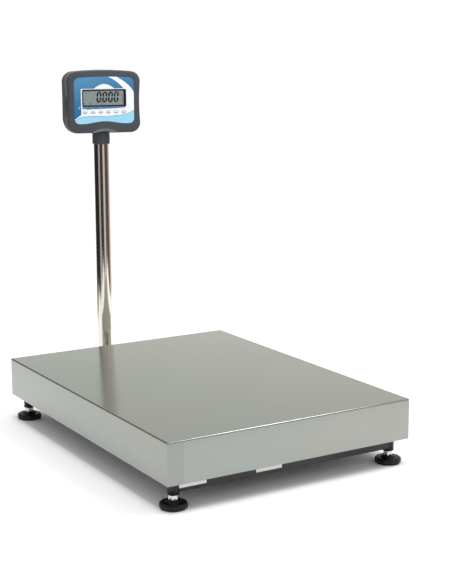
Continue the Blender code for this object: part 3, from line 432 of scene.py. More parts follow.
class Recipe:
    """A Principled material with nodes added to it one at a time."""

    def __init__(self, name, base, roughness, metallic=0.0):
        self.material = bpy.data.materials.new(name)
        self.material.use_nodes = True
        self.tree = self.material.node_tree
        self.shader = self.tree.nodes["Principled BSDF"]
        self.set("Base Color", (*base, 1.0))
        self.set("Roughness", roughness)
        self.set("Metallic", metallic)
        self.coordinates = self.tree.nodes.new("ShaderNodeTexCoord")

    def set(self, socket, value):
        """Set one of the shader's own values."""
        self.shader.inputs[socket].default_value = value
        return self

    def link(self, output, target):
        """Join two sockets."""
        self.tree.links.new(output, target)

    def along(self, axis, source="Object"):
        """How far a point lies along one axis."""
        split = self.tree.nodes.new("ShaderNodeSeparateXYZ")
        self.link(self.coordinates.outputs[source], split.inputs["Vector"])
        return split.outputs[axis]

    def maths(self, operation, first, number):
        """A value worked out from a socket and a number."""
        node = self.tree.nodes.new("ShaderNodeMath")
        node.operation = operation
        node.inputs[1].default_value = number
        self.link(first, node.inputs[0])
        return node

    def noise(self, scale, detail=3.0, roughness=0.5, stretch=(1, 1, 1)):
        """A noise value, stretched along each axis."""
        mapping = self.tree.nodes.new("ShaderNodeMapping")
        mapping.inputs["Scale"].default_value = stretch
        self.link(self.coordinates.outputs["Object"], mapping.inputs["Vector"])
        node = self.tree.nodes.new("ShaderNodeTexNoise")
        node.inputs["Scale"].default_value = scale
        node.inputs["Detail"].default_value = detail
        node.inputs["Roughness"].default_value = roughness
        self.link(mapping.outputs["Vector"], node.inputs["Vector"])
        return node.outputs["Fac"]

    def ramp(self, value, stops):
        """A value turned into a colour through a row of (place, colour) stops."""
        return colour_ramp(self.tree, value, stops)

    def span(self, value, low, high):
        """A noise, which stays near its middle, spread between two limits."""
        node = self.tree.nodes.new("ShaderNodeMapRange")
        node.inputs["From Min"].default_value = 0.25
        node.inputs["From Max"].default_value = 0.75
        node.inputs["To Min"].default_value = low
        node.inputs["To Max"].default_value = high
        self.link(value, node.inputs["Value"])
        return node.outputs["Result"]

    def mixed(self, first, second, operation="MIX"):
        """A node that mixes two colours; the first may be a plain one."""
        node = self.tree.nodes.new("ShaderNodeMix")
        node.data_type = "RGBA"
        node.blend_type = operation
        node.inputs["Factor"].default_value = 1.0
        if isinstance(first, tuple):
            node.inputs["A"].default_value = (*first, 1)
        else:
            self.link(first, node.inputs["A"])
        self.link(second, node.inputs["B"])
        return node

    def tinted(self, value, base, spread):
        """Colour drifting a little about the base, darker to lighter."""
        dark = tuple(channel * (1 - spread) for channel in base)
        light = tuple(min(channel * (1 + spread), 1.0) for channel in base)
        self.link(self.ramp(value, ((0.3, dark), (0.7, light))), self.shader.inputs["Base Color"])
        return self

    def rough(self, value, low, high):
        """Roughness drifting between two limits."""
        self.link(self.span(value, low, high), self.shader.inputs["Roughness"])
        return self

    def bump(self, value, strength, distance):
        """Relief from a value."""
        node = self.tree.nodes.new("ShaderNodeBump")
        node.inputs["Strength"].default_value = strength
        node.inputs["Distance"].default_value = distance
        self.link(value, node.inputs["Height"])
        self.link(node.outputs["Normal"], self.shader.inputs["Normal"])
        return self


FILM_SHINE = 0.25
FILM_GRAIN = (1500, 2)
PLAIN = (1.0, 1.0, 1.0)
# Painted shade on the platter: a slightly darker upright band on the skirts beside the left corners, standing
# in for a darker reflection.
PAINTED_SHADE_TONE = (0.90, 0.915, 0.92)
PAINTED_SHADE_BAND = ((0.872, PLAIN), (0.886, PAINTED_SHADE_TONE), (0.990, PAINTED_SHADE_TONE), (0.996, PLAIN))    # in shares of half width
PAINTED_SHADE_TOP = 0.004                          # how far below the platter's top the painted shade band ends


def painted_shade_ends(recipe):
    """A slightly darker upright band on the skirts beside the left corners: painted shade standing in for the
    darker reflection there.
    """
    low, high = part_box("platter")
    share = recipe.maths("DIVIDE", recipe.along("X"), low.x)
    band = recipe.ramp(share.outputs["Value"], PAINTED_SHADE_BAND)
    below = recipe.maths("LESS_THAN", recipe.along("Z"), high.z - PAINTED_SHADE_TOP)
    mixed = recipe.mixed(PLAIN, band)
    recipe.link(below.outputs["Value"], mixed.inputs["Factor"])
    return mixed.outputs["Result"]


def brushed_steel(base):
    """Satin stainless: fine lines along the platter, and a slow drift of tone."""
    recipe = Recipe("brushed_steel", base, 0.20, 1.0)
    lines = recipe.noise(260, 4, 0.6, (1, 0.012, 1))
    warm = tuple(channel * factor for channel, factor in zip(base, (1.025, 1.0, 0.975)))
    cool = tuple(channel * factor for channel, factor in zip(base, (0.975, 1.0, 0.99)))
    tone = recipe.ramp(recipe.noise(4.5), ((0.42, cool), (0.58, warm)))
    # the base colour is multiplied by the painted shade band beside the left corners
    toned = recipe.mixed(tone, painted_shade_ends(recipe), "MULTIPLY")
    recipe.link(toned.outputs["Result"], recipe.shader.inputs["Base Color"])
    recipe.rough(lines, 0.13, 0.20)
    recipe.bump(lines, 0.04, 0.0002)
    return recipe.material


def panel_blue(low, high):
    """Printed blue that deepens towards the panel's foot."""
    recipe = Recipe("panel_blue", high, 0.32)
    recipe.set("Specular IOR Level", FILM_SHINE)
    lean = recipe.maths("MULTIPLY_ADD", recipe.along("X", "Generated"), -0.35)
    recipe.link(recipe.along("Z", "Generated"), lean.inputs[2])
    between = tuple(0.65 * a + 0.35 * b for a, b in zip(low, high))
    tone = recipe.ramp(lean.outputs["Value"], ((0.02, low), (0.45, between), (0.88, high)))
    recipe.link(tone, recipe.shader.inputs["Base Color"])
    recipe.bump(recipe.noise(*FILM_GRAIN), 0.05, 0.0001)
    return recipe.material


def surface(name, base, roughness, metallic=0.0, tint=None, rough=None, relief=None, **values):
    """A finish of one colour, with any of the shader's own values named.

    Tint, rough and relief each begin with a noise. What follows it is the spread of the colour, the limits
    of the roughness, or the strength and depth of the relief.
    """
    recipe = Recipe(name, base, roughness, metallic)
    for socket, value in values.items():
        recipe.set(socket.replace("_", " "), value)
    if tint:
        recipe.tinted(recipe.noise(*tint[0]), base, tint[1])
    if rough:
        recipe.rough(recipe.noise(*rough[0]), *rough[1:])
    if relief:
        recipe.bump(recipe.noise(*relief[0]), *relief[1:])
    return recipe.material


def moulded_plastic(name, base, low=0.34, high=0.44):
    """Casing plastic with the fine sparkle of a spark-eroded mould."""
    return surface(name, base, (low + high) / 2, Specular_IOR_Level=0.35, tint=((25,), 0.05),
                   rough=((70,), low, high), relief=((1400, 2, 0.6), 0.16, 0.00025))


def printed_film(name, base, roughness=0.32):
    """One printed colour under a satin film."""
    return surface(name, base, roughness, Specular_IOR_Level=FILM_SHINE, tint=((160,), 0.02),
                   relief=(FILM_GRAIN, 0.05, 0.0001))


def gel(name, base, roughness):
    """Plain coloured gel or acrylic with a soft drift."""
    return surface(name, base, roughness, tint=((80, 2), 0.08))


DRAWN_LINES = (600, 3, 0.5, (1, 1, 0.01))
MILLED_LINES = (500, 3, 0.6, (0.03, 1, 1))
PLATED_CLOUD = (90, 4)
BOARD_TRACKS = (220, 1, 0.2, (1, 1, 0.2))

FINISHES = {
    "brushed_steel": lambda c: brushed_steel(c.steel),
    "polished_steel": lambda c: surface(
        "polished_steel", c.column, 0.10, 1.0, rough=(DRAWN_LINES, 0.07, 0.13),
        relief=(DRAWN_LINES, 0.03, 0.0002)),
    "powder_coat": lambda c: surface(
        "powder_coat", c.paint, 0.46, tint=((18,), 0.10), rough=((60,), 0.40, 0.54),
        relief=((750, 2), 0.25, 0.0004)),
    "weld_bead": lambda c: surface(
        "weld_bead_paint", c.paint, 0.50, tint=((150,), 0.2), relief=((420, 2), 0.5, 0.0006)),
    "zinc_plate": lambda c: surface(
        "zinc_plate", c.zinc, 0.28, 1.0, tint=(PLATED_CLOUD, 0.06), rough=(PLATED_CLOUD, 0.20, 0.36),
        relief=((900, 2), 0.05, 0.0002)),
    "machined_aluminium": lambda c: surface(
        "machined_aluminium", c.aluminium, 0.36, 1.0, tint=(MILLED_LINES, 0.05),
        rough=(MILLED_LINES, 0.28, 0.44), relief=(MILLED_LINES, 0.10, 0.0002)),
    "moulded_black": lambda c: surface(
        "moulded_black", c.rubber, 0.42, Specular_IOR_Level=0.30, tint=((40,), 0.15),
        rough=((120,), 0.36, 0.52), relief=((1100, 2), 0.20, 0.0003)),
    "buffer_rubber": lambda c: surface(
        "buffer_rubber", c.rubber, 0.82, tint=((70,), 0.18), relief=((800,), 0.30, 0.0004)),
    "housing": lambda c: moulded_plastic("housing_plastic", c.housing),
    # Pale plastic of the bead round the arch: painted sheen, standing in for the light the scoop catches.
    "sheen_band": lambda c: moulded_plastic("sheen_band_plastic", shade(116, 117, 112), 0.40, 0.52),
    "cover": lambda c: moulded_plastic("cover_plastic", c.cover, 0.40, 0.52),
    "panel_blue": lambda c: panel_blue(c.blue_low, c.blue_top),
    "panel_cyan": lambda c: printed_film("panel_cyan", c.cyan),
    "panel_white": lambda c: printed_film("panel_white", c.white),
    "panel_line": lambda c: printed_film("panel_line", shade(96, 112, 128)),
    "key_arc": lambda c: printed_film("key_arc", shade(128, 140, 156)),
    "key_red": lambda c: printed_film("key_red", shade(206, 92, 84)),
    "key_green": lambda c: printed_film("key_green", shade(110, 150, 96)),
    "key_blue": lambda c: printed_film("key_blue", shade(90, 110, 170)),
    "lamp": lambda c: printed_film("lamp_lens", shade(150, 158, 166), 0.2),
    "display_ground": lambda c: surface(
        "display_ground", c.lcd, 0.30, tint=((1600, 2, 0.7), 0.10), rough=((300, 2), 0.26, 0.36)),
    "display_ink": lambda c: printed_film("display_ink", c.ink, 0.4),
    "display_frame": lambda c: printed_film("display_frame", shade(24, 26, 30), 0.5),
    "clear_window": lambda c: surface(
        "clear_window", (0.02, 0.02, 0.02), 0.08, Alpha=0.05, relief=((30, 1), 0.02, 0.0002)),
    "label": lambda c: printed_film("blank_label", shade(232, 232, 227), 0.45),
    "board": lambda c: surface(
        "board_green", shade(38, 110, 62), 0.38, tint=(BOARD_TRACKS, 0.30),
        relief=(BOARD_TRACKS, 0.20, 0.0003)),
    "battery": lambda c: printed_film("battery_wrap", shade(62, 70, 92), 0.4),
    "cable": lambda c: surface(
        "cable_jacket", shade(44, 44, 46), 0.48, tint=((60, 2), 0.12), relief=((500, 2), 0.10, 0.0002)),
    "vial_liquid": lambda c: gel("vial_liquid", shade(170, 205, 70), 0.08),
    "vial_bubble": lambda c: gel("vial_bubble", shade(226, 240, 170), 0.05),
}
made_finishes = {}


def finish(name):
    """A finish by name, made the first time it is asked for."""
    if name not in made_finishes:
        made_finishes[name] = FINISHES[name](bpy.context.scene.scale_colours)
    return made_finishes[name]


# ------------------------------------------------------------------ platter
def seamed_outline(width, depth, radius, seam):
    """Rounded rectangle with a fine closed seam down each corner."""
    steps = 8
    points = rounded_rectangle(width, depth, radius, steps)
    for quarter in range(4):
        index = quarter * (steps + 1) + steps // 2
        inward = -points[index].normalized()
        points[index] = points[index] + seam * inward
    return points


def platter_skin(sizes, inset, low, high, steps=8):
    """Rings of one skin of the pan, from its rim to its flat top."""
    width, depth = high.x - low.x - 2 * inset, high.y - low.y - 2 * inset
    radius, corner = sizes.bend - inset, sizes.corner - inset
    seam = sizes.seam if inset == 0 else 0.0
    centre = Vector(((low.x + high.x) / 2, (low.y + high.y) / 2, 0))
    rings = [lying(seamed_outline(width, depth, corner, seam), low.z)]
    for step in range(steps + 1):
        angle = step / steps * math.pi / 2
        draw = radius * (1 - math.cos(angle))
        level = high.z - sizes.bend + radius * math.sin(angle)
        fade = seam * (1 - step / steps)
        outline = seamed_outline(width - 2 * draw, depth - 2 * draw, max(corner - draw, 0.0004), fade)
        rings.append(lying(outline, level))
    return [[point + centre for point in ring] for ring in rings]


def build_platter(scene):
    """The pan, from one folded sheet with closed corners."""
    sizes = scene.scale_platter
    low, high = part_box("platter")
    rings = list(reversed(platter_skin(sizes, sizes.sheet, low, high))) + platter_skin(sizes, 0, low, high)
    piece("platter_pan", loft(rings), "brushed_steel", "platter", ("platter",), smooth=30)


# ------------------------------------------------------------------ base, feet and load cell
BASE_PAINTED = ("base_front_bar", "base_rear_bar", "base_spine", "load_front_bar", "load_rear_bar",
                "load_spine", "column_bracket")
CELL_HARDWARE = ("load_cell_lower_spacer", "load_cell_upper_spacer", "load_cell_base_bolt_1",
                 "load_cell_base_bolt_2", "load_cell_top_bolt_1", "load_cell_top_bolt_2")
SEAL_LENGTH, SEAL_HEIGHT, SEAL_THICK = 0.062, 0.026, 0.0012


BEAD_RADIUS = 0.0016
LABEL_WIDTH, LABEL_HEIGHT, LABEL_FILM = 0.063, 0.026, 0.00012
LABEL_MIDDLES = (0.0685, 0.2495)            # from the platter's left side
LABEL_FOOT = 0.0080                         # above the front bar's underside


def bead(start, stop, radius):
    """A rippled weld bead along a straight line."""
    run = stop - start
    count = max(int(run.length / (radius * 0.9)), 4)
    turn = run.to_track_quat("Z", "Y").to_matrix().to_4x4()
    rings = []
    for step in range(count * 3 + 1):
        swell = radius * (0.82 + 0.18 * abs(math.sin(math.pi * step / 3)))
        end = min(step, count * 3 - step)
        swell *= min(1.0, 0.45 + 0.2 * end)
        along = run.length * step / (count * 3)
        rings.append([turn @ point + start for point in lying(circle(swell, 8), along)])
    return loft(rings)


def spine_beads(spine, end, sunk=0.0):
    """Two weld beads across a spine, where it meets the bar at one of its ends."""
    low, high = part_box(spine)
    near = low.y if end == "front" else high.y
    return [bead(Vector((low.x, near, level)), Vector((high.x, near, level)), BEAD_RADIUS)
            for level in (high.z - sunk, low.z)]


def boss_beads(end, side):
    """Two upright weld beads where a foot's boss meets its bar."""
    low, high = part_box(f"base_{end}_bar")
    boss_low, boss_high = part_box(f"foot_boss_{end}_{side}")
    reach = math.sqrt(max(((boss_high.x - boss_low.x) / 2) ** 2 - ((high.y - low.y) / 2) ** 2, 0))
    along = (boss_low.x + boss_high.x) / 2 + (reach if side == "left" else -reach)
    return [bead(Vector((along, across, low.z)), Vector((along, across, high.z)), BEAD_RADIUS)
            for across in (low.y, high.y)]


def build_base(scene):
    """Paint the welded base and load frame, add their weld beads and the labels on the front bar."""
    for node in BASE_PAINTED:
        dress(node, "powder_coat")
    for corner in CORNERS:
        dress("foot_boss_" + corner, "powder_coat")
    beads = []
    load_beads = []
    for end in ("front", "rear"):
        beads += spine_beads("base_spine", end) + boss_beads(end, "left") + boss_beads(end, "right")
        load_beads += spine_beads("load_spine", end, BEAD_RADIUS)
    piece("base_weld_beads", joined(beads), "weld_bead", "base")
    piece("load_frame_weld_beads", joined(load_beads), "weld_bead", "base")
    build_labels()


def build_labels():
    """Two blank labels on the front bar's face."""
    low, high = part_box("base_front_bar")
    platter_low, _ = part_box("platter")
    for index, offset in enumerate(LABEL_MIDDLES):
        outline = shifted(rounded_rectangle(LABEL_WIDTH, LABEL_HEIGHT, 0.0012, 3), platter_low.x + offset,
                          low.z + LABEL_FOOT + LABEL_HEIGHT / 2)
        mesh = slab(outline, low.y - LABEL_FILM, low.y - LABEL_FILM / 8)
        piece(f"front_label_{index + 1}", mesh, "label", "base")


def knob_ring(radius, level, lobes, groove, count=120):
    """A round ring drawn in by shallow finger grooves."""
    ring = []
    for step in range(count):
        angle = 2 * math.pi * step / count
        wave = 0.5 - 0.5 * math.cos(lobes * angle)
        local = radius - groove * wave**3
        ring.append(Vector((local * math.cos(angle), local * math.sin(angle), level)))
    return ring


def foot_pad(sizes, low, high):
    """The moulded pad: a lobed rim, a dished top and a raised hub."""
    radius, height = (high.x - low.x) / 2, high.z - low.z
    stations = (    # radius, height, and how deep the finger grooves are there
        (radius - 0.0040, 0.0, 0.2), (radius - 0.0016, 0.0008, 0.5), (radius - 0.0004, 0.0030, 1),
        (radius, 0.0060, 1), (radius, 0.0095, 1), (radius - 0.0006, 0.0112, 1),
        (radius - 0.0022, 0.0124, 0.8), (radius - 0.0055, 0.0130, 0.4), (radius * 0.62, 0.0134, 0),
        (radius * 0.56, 0.0140, 0),
        (radius * 0.52, height - 0.0008, 0), (radius * 0.48, height, 0),
    )
    return loft([knob_ring(r, z, sizes.lobes, sizes.groove * share) for r, z, share in stations])


def threaded_rod(radius, depth, pitch, bottom, top, count=24):
    """A threaded rod whose ridge climbs as a helix, capped flat at both ends."""
    per_turn = 4
    rows = int((top - bottom) / pitch * per_turn)
    rings = []
    for row in range(rows + 1):
        level = bottom + (top - bottom) * row / rows
        ring = []
        for step in range(count):
            angle = 2 * math.pi * step / count
            phase = ((level - bottom) / pitch - step / count) % 1.0
            ridge = 1 - abs(2 * phase - 1)
            fade = min(1.0, (top - level) / pitch, (level - bottom) / pitch)
            local = radius - depth * (1 - ridge * fade)
            ring.append(Vector((local * math.cos(angle), local * math.sin(angle), level)))
        rings.append(ring)
    return loft(rings)


def hex_nut(flats, bore, height):
    """A hexagon nut, chamfered at both faces, with a chamfered bore."""
    count, chamfer, bevel = 48, 0.0011, 0.0009
    outline = []
    for step in range(count):
        angle = 2 * math.pi * (step + 0.5) / count
        within = (angle + math.pi / 6) % (math.pi / 3) - math.pi / 6
        outline.append((angle, flats / 2 / math.cos(within)))

    def outer(level, limit):
        return lying([min(r, limit) * Vector((math.cos(a), math.sin(a))) for a, r in outline], level)

    def inner(level, radius):
        return lying(circle(radius, count, math.pi / count), level)

    flat, point = flats / 2 * 0.97, flats / math.sqrt(3)
    rings = [outer(0, flat), outer(chamfer, point), outer(height - chamfer, point), outer(height, flat),
             inner(height, bore + bevel), inner(height - bevel, bore), inner(bevel, bore),
             inner(0, bore + bevel)]
    return loft(rings, closed=True)


THREAD_PLAY = 0.00015
NUT_TURN = math.radians(20)


def build_feet(scene):
    """Lobed pads, threaded studs and chamfered locknuts at the four corners."""
    sizes = scene.scale_feet
    for corner in CORNERS:
        body = "foot_" + corner
        pad, stud, locknut = "foot_pad_" + corner, "foot_stud_" + corner, "foot_locknut_" + corner
        low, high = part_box(pad)
        piece("levelling_pad_" + corner, foot_pad(sizes, low, high), "moulded_black", body,
              (pad,), upright(pad, low.z), 35)
        low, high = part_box(stud)
        radius = (high.x - low.x) / 2
        rod = threaded_rod(radius, sizes.thread_depth, sizes.pitch, low.z, high.z)
        piece("threaded_stud_" + corner, rod, "zinc_plate", body, (stud,), upright(pad, 0), 30)
        low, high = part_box(locknut)
        nut = hex_nut(min(high.x - low.x, high.y - low.y), radius + THREAD_PLAY, high.z - low.z)
        turn = Matrix.Rotation(NUT_TURN, 4, "Z")
        piece("locknut_" + corner, nut, "zinc_plate", "base", (locknut,),
              upright(pad, low.z) @ turn, 25)


def build_load_cell(scene):
    """The load cell with its sealed windows, its hardware, the buffers and the overload stops."""
    dress("load_cell", "machined_aluminium", 0.0004)
    for node in CELL_HARDWARE:
        dress(node, "zinc_plate")
    for corner in CORNERS:
        dress("overload_stop_" + corner, "zinc_plate")
        low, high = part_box("platter_buffer_" + corner)
        radius, height = (high.x - low.x) / 2, high.z - low.z
        profile = ((radius - 0.0004, 0), (radius, 0.0005), (radius * 0.97, height / 2),
                   (radius, height - 0.0005), (radius - 0.0006, height), (radius * 0.35, height),
                   (radius * 0.3, height - 0.0012))
        buffer = "platter_buffer_" + corner
        piece("rubber_buffer_" + corner, turned(profile, 48), "buffer_rubber", "base",
              (buffer,), upright(buffer, low.z))
    low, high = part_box("load_cell")
    centre = (low + high) / 2
    seals = []
    for side, edge in ((-1, low.x), (1, high.x)):
        plate = prism(rounded_rectangle(SEAL_LENGTH, SEAL_HEIGHT, 0.012, 6), 0, SEAL_THICK)
        turn = Matrix.Rotation(math.radians(90 * side), 4, "Y") @ Matrix.Rotation(math.radians(90), 4, "Z")
        seals.append(moved(plate, Matrix.Translation((edge, centre.y, centre.z)) @ turn))
    piece("load_cell_seals", joined(seals), "buffer_rubber", "base")


# ------------------------------------------------------------------ column
TUBE_WALL = 0.0015
SOCKET_WALL = 0.0043                        # from the tube out to the weld round its socket
SOCKET_BEAD, SOCKET_BEAD_UP, SOCKET_BEAD_STEPS = 0.0020, 0.0052, 72
CLAMP_SHANK, CLAMP_HEAD, CLAMP_HEX = 0.0030, 0.0030, 0.0026


def build_column(scene):
    """Polished tube, its socket and clamp screws, the bull's-eye level and the signal cable."""
    low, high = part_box("column_tube")
    radius = (high.x - low.x) / 2
    ease, bore = 0.0003, radius - TUBE_WALL
    profile = ((radius - ease, low.z), (radius, low.z + ease), (radius, high.z - ease),
               (radius - ease, high.z), (bore, high.z), (bore, low.z))
    place = upright("column_tube", 0)
    piece("column", turned(profile, 96, closed=True), "polished_steel", "base",
          ("column_tube",), place, 30)
    dress("column_socket", "powder_coat")
    bead_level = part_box("column_socket")[0].z + SOCKET_BEAD_UP
    rings = []
    for step in range(SOCKET_BEAD_STEPS):
        angle = 2 * math.pi * step / SOCKET_BEAD_STEPS
        swell = SOCKET_BEAD * (0.85 + 0.15 * math.sin(angle * SOCKET_BEAD_STEPS / 2))
        outward = Vector((math.cos(angle), math.sin(angle), 0))
        centre = (radius + SOCKET_WALL) * outward + Vector((0, 0, bead_level))
        rings.append([centre + spot.x * outward + Vector((0, 0, spot.y)) for spot in circle(swell, 8)])
    piece("socket_weld_bead", loft(rings, closed=True), "weld_bead", "base", place=place)
    for index in (1, 2):
        name = f"column_clamp_screw_{index}"
        low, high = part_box(name)
        head, reach = (high.x - low.x) / 2, high.y - low.y
        profile = ((CLAMP_SHANK, 0), (CLAMP_SHANK, reach - CLAMP_HEAD), (head, reach - CLAMP_HEAD),
                   (head, reach - 0.0006), (head - 0.0006, reach))
        body = carve(turned(profile, 40), [prism(circle(CLAMP_HEX, 6), reach - 0.0022, reach + 0.002)])
        at = Matrix.Translation((middle(name).x, low.y, middle(name).z))
        piece(f"clamp_screw_{index}", body, "zinc_plate", "base", (name,), at @ ALONG_Y, 30)
    build_level()
    build_cable()


def build_level():
    """Bull's-eye level: a black cup, green liquid, and the bubble under its ring."""
    low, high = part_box("level_vial")
    radius, height = (high.x - low.x) / 2, high.z - low.z
    place = upright("level_vial", low.z)
    cup = turned(((radius * 0.98, 0), (radius, 0.0004), (radius, height - 0.0004), (radius * 0.96, height),
                  (radius * 0.84, height), (radius * 0.80, height - 0.0006), (radius * 0.80, 0.001),
                  (radius * 0.3, 0.001), (radius * 0.3, 0)), 64, closed=True)
    piece("level_cup", cup, "moulded_black", "base", ("level_vial",), place)
    liquid = turned(((radius * 0.78, 0.0012), (radius * 0.78, height - 0.0014),
                     (radius * 0.5, height - 0.0008), (radius * 0.1, height - 0.0006)), 48)
    piece("level_liquid", liquid, "vial_liquid", "base", (), place)
    bubble = turned(((radius * 0.1, height - 0.0007), (radius * 0.26, height - 0.0006),
                     (radius * 0.26, height - 0.0004), (radius * 0.1, height - 0.0003)), 32)
    piece("level_bubble", bubble, "vial_bubble", "base", (), place)
    ring = turned(((radius * 0.34, height - 0.0007), (radius * 0.34, height - 0.0003),
                   (radius * 0.40, height - 0.0003), (radius * 0.40, height - 0.0007)), 48, closed=True)
    piece("level_ring", ring, "display_ink", "base", (), place)


CABLE_PLAY = 0.0015                         # between the cable and what it lies on
BRACKET_WALL = 0.0025
PLATTER_SHEET = 0.0015
TIE_WIDTH = 0.004
TIES_AT = (0.090, 0.170)                    # along the cable from the load cell


def build_cable():
    """The load cell's cable, held along its whole way into the column."""
    cable_low, cable_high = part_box("signal_cable")
    radius = (cable_high.x - cable_low.x) / 2
    base_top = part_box("base_spine")[1].z
    bracket_low, bracket_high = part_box("column_bracket")
    lie = base_top + radius + CABLE_PLAY
    inside = bracket_low.z + BRACKET_WALL + radius + CABLE_PLAY
    bar_y = middle("base_rear_bar").y
    drop_y = (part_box("base_rear_bar")[1].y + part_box("platter")[1].y - PLATTER_SHEET) / 2
    column_y = middle("column_tube").y
    cell_z = middle("load_cell").z
    start = cable_low.y
    route = (
        (start, cell_z), (start + 0.012, cell_z), (start + 0.035, lie + 0.008), (start + 0.060, lie),
        (bar_y - 0.040, lie), (bar_y, lie), (drop_y - 0.007, lie - 0.0006), (drop_y - 0.001, lie - 0.006),
        (drop_y, bracket_high.z + 0.006), (drop_y + 0.0005, bracket_high.z), (drop_y + 0.006, inside + 0.002),
        (drop_y + 0.016, inside), (column_y - 0.016, inside), (column_y - 0.006, inside + 0.002),
        (column_y - 0.0005, bracket_high.z), (column_y, bracket_high.z + 0.008),
        (column_y, bracket_high.z + 0.066), (column_y, cable_high.z - 0.064), (column_y, cable_high.z),
    )
    line = smooth_line([Vector(point) for point in route], 5)
    rings = []
    for index, point in enumerate(line):
        before, after = line[max(index - 1, 0)], line[min(index + 1, len(line) - 1)]
        run = (after - before).normalized()
        across = Vector((-run.y, run.x))
        rings.append([Vector((spot.x, point.x + across.x * spot.y, point.y + across.y * spot.y))
                      for spot in circle(radius, 16)])
    piece("load_cell_cable", loft(rings), "cable", "base", ("signal_cable",), smooth=50)
    ties = []
    for near in [start + at for at in TIES_AT]:
        band = shifted(rounded_rectangle(2 * radius + 0.0024, 2 * radius + 0.0030, 0.0012), 0, lie - 0.0002)
        hole = shifted(rounded_rectangle(2 * radius + 0.0006, 2 * radius + 0.0012, 0.0010), 0, lie - 0.0002)
        far = near + TIE_WIDTH
        rings = [standing(band, near), standing(band, far), standing(hole, far), standing(hole, near)]
        ties.append(loft(rings, closed=True))
    piece("cable_clips", joined(ties), "moulded_black", "base")


def build_column_head(scene):
    """The plug, the collar and the neck that carries the tilt pin."""
    low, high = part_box("column_head")
    tube_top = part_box("column_tube")[1].z
    radius = (high.x - low.x) / 2
    collar_low, collar_high = tube_top + 0.0003, tube_top + 0.0330
    plug = (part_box("column_tube")[1].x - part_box("column_tube")[0].x) / 2 - 0.0018
    profile = (
        (plug - 0.0012, low.z), (plug, low.z + 0.0015), (plug, collar_low), (radius - 0.0016, collar_low),
        (radius - 0.0004, collar_low + 0.0006), (radius, collar_low + 0.0020), (radius, collar_high - 0.0030),
        (radius - 0.0006, collar_high - 0.0010), (radius - 0.0022, collar_high), (0.0052, collar_high),
        (0.0050, collar_high - 0.0005), (0.0050, low.z),
    )
    piece("column_collar", turned(profile, 96, closed=True), "housing", "column_head",
          ("column_head",), upright("column_tube", 0), 30)
    low, high = case_box("tilt_pin")
    half_depth, half_width, flare = 0.007, 0.015, 0.003
    crest = circle(half_depth, 40)[:21]
    foot = collar_high - joint("indicator_tilt")["pos_m"][2]
    side = crest + [Vector((-half_depth, foot + flare)), Vector((-half_depth - flare, foot)),
                    Vector((half_depth + flare, foot)), Vector((half_depth, foot + flare))]
    neck = loft([[Vector((end, point.x, point.y)) for point in side] for end in (-half_width, half_width)])
    bore = prism(circle((high.z - low.z) / 2 + 0.0002, 32), -0.03, 0.03)
    moved(bore, Matrix.Rotation(math.radians(90), 4, "Y"))
    made = piece("column_neck", carve(neck, [bore]), "housing", "column_head",
                 (), CASE, 30)
    eased(made, 0.0008)


# ------------------------------------------------------------------ casing
def case_ring(scene, inset, depth, lift=0.0, waist=None):
    """Outline of the casing at a depth, set in all round: crowned top, waisted sides."""
    sizes = scene.scale_case
    width = 2 * CASE_HALF_WIDTH - 2 * inset
    height = FRONT_HIGH.z - FRONT_LOW.z - sizes.crown - 2 * inset - lift
    centre_z = CASE_MIDDLE_Z - sizes.crown / 2 + lift / 2
    tops, bottoms = max(sizes.top_radius - inset, 0.004), max(sizes.bottom_radius - inset, 0.004)
    corners = ((1, 1, tops), (-1, 1, tops), (-1, -1, bottoms), (1, -1, bottoms))
    waist = sizes.waist if waist is None else waist
    return standing(bowed(width, height, corners, centre_z, sizes.crown, waist, 10, 10), depth)


def bowed(width, height, corners, centre_z, crown, waist, steps, spans):
    """Rounded rectangle whose top edge bows up and whose sides draw in at mid height."""
    arcs = []
    for quarter, (sign_x, sign_z, radius) in enumerate(corners):
        centre = Vector((sign_x * (width / 2 - radius), sign_z * (height / 2 - radius)))
        angles = [(quarter + step / steps) * math.pi / 2 for step in range(steps + 1)]
        arcs.append([centre + radius * Vector((math.cos(angle), math.sin(angle))) for angle in angles])
    points = []
    for arc, following in zip(arcs, arcs[1:] + arcs[:1]):
        points += arc
        points += [arc[-1].lerp(following[0], step / spans) for step in range(1, spans)]
    shaped = []
    for point in points:
        across, up = 2 * point.x / width, 2 * point.y / height
        rise = crown * (1 - across**2) * max(up, 0)
        draw = waist * (1 - up**2) * across
        shaped.append(Vector((point.x - draw, point.y + rise + centre_z)))
    return shaped


def box_mesh(low, high):
    """A plain box between two corners, for cutting."""
    corners = ((low[0], low[1]), (high[0], low[1]), (high[0], high[1]), (low[0], high[1]))
    return prism([Vector(corner) for corner in corners], low[2], high[2])


def pocket_meshes(wall=0.0):
    """The two stages of the pocket that the column head stands in, grown by a wall."""
    half, foot, back = POCKET_HALF + wall, FRONT_LOW.z - 2 * PAST, REAR_HIGH.y + 2 * PAST
    stages = ((POCKET_MOUTH_FRONT, POCKET_MOUTH_TOP), (POCKET_FRONT, POCKET_TOP))
    return [box_mesh((-half, front - wall, foot), (half, back, top + wall)) for front, top in stages]


GRIP_BALL = (0.014, 0.021, 0.038)           # half axes of the ball that hollows a side
ARCH_SLOPE = math.radians(38)
BEAD_BED, BEAD_GAP = 0.0040, 0.0001         # depth of the bead round the arch, which carries painted sheen, and the gap about it
VENT_COUNT, VENT_PITCH, VENT_UP = 9, 0.0085, 0.040
VENT_SIZE = (0.003, 0.022, 0.0014)          # width, height and corner radius
COVER_SCREWS = [(across, CASE_MIDDLE_Z + up) for across in (-0.062, 0.062) for up in (-0.036, 0.050)]


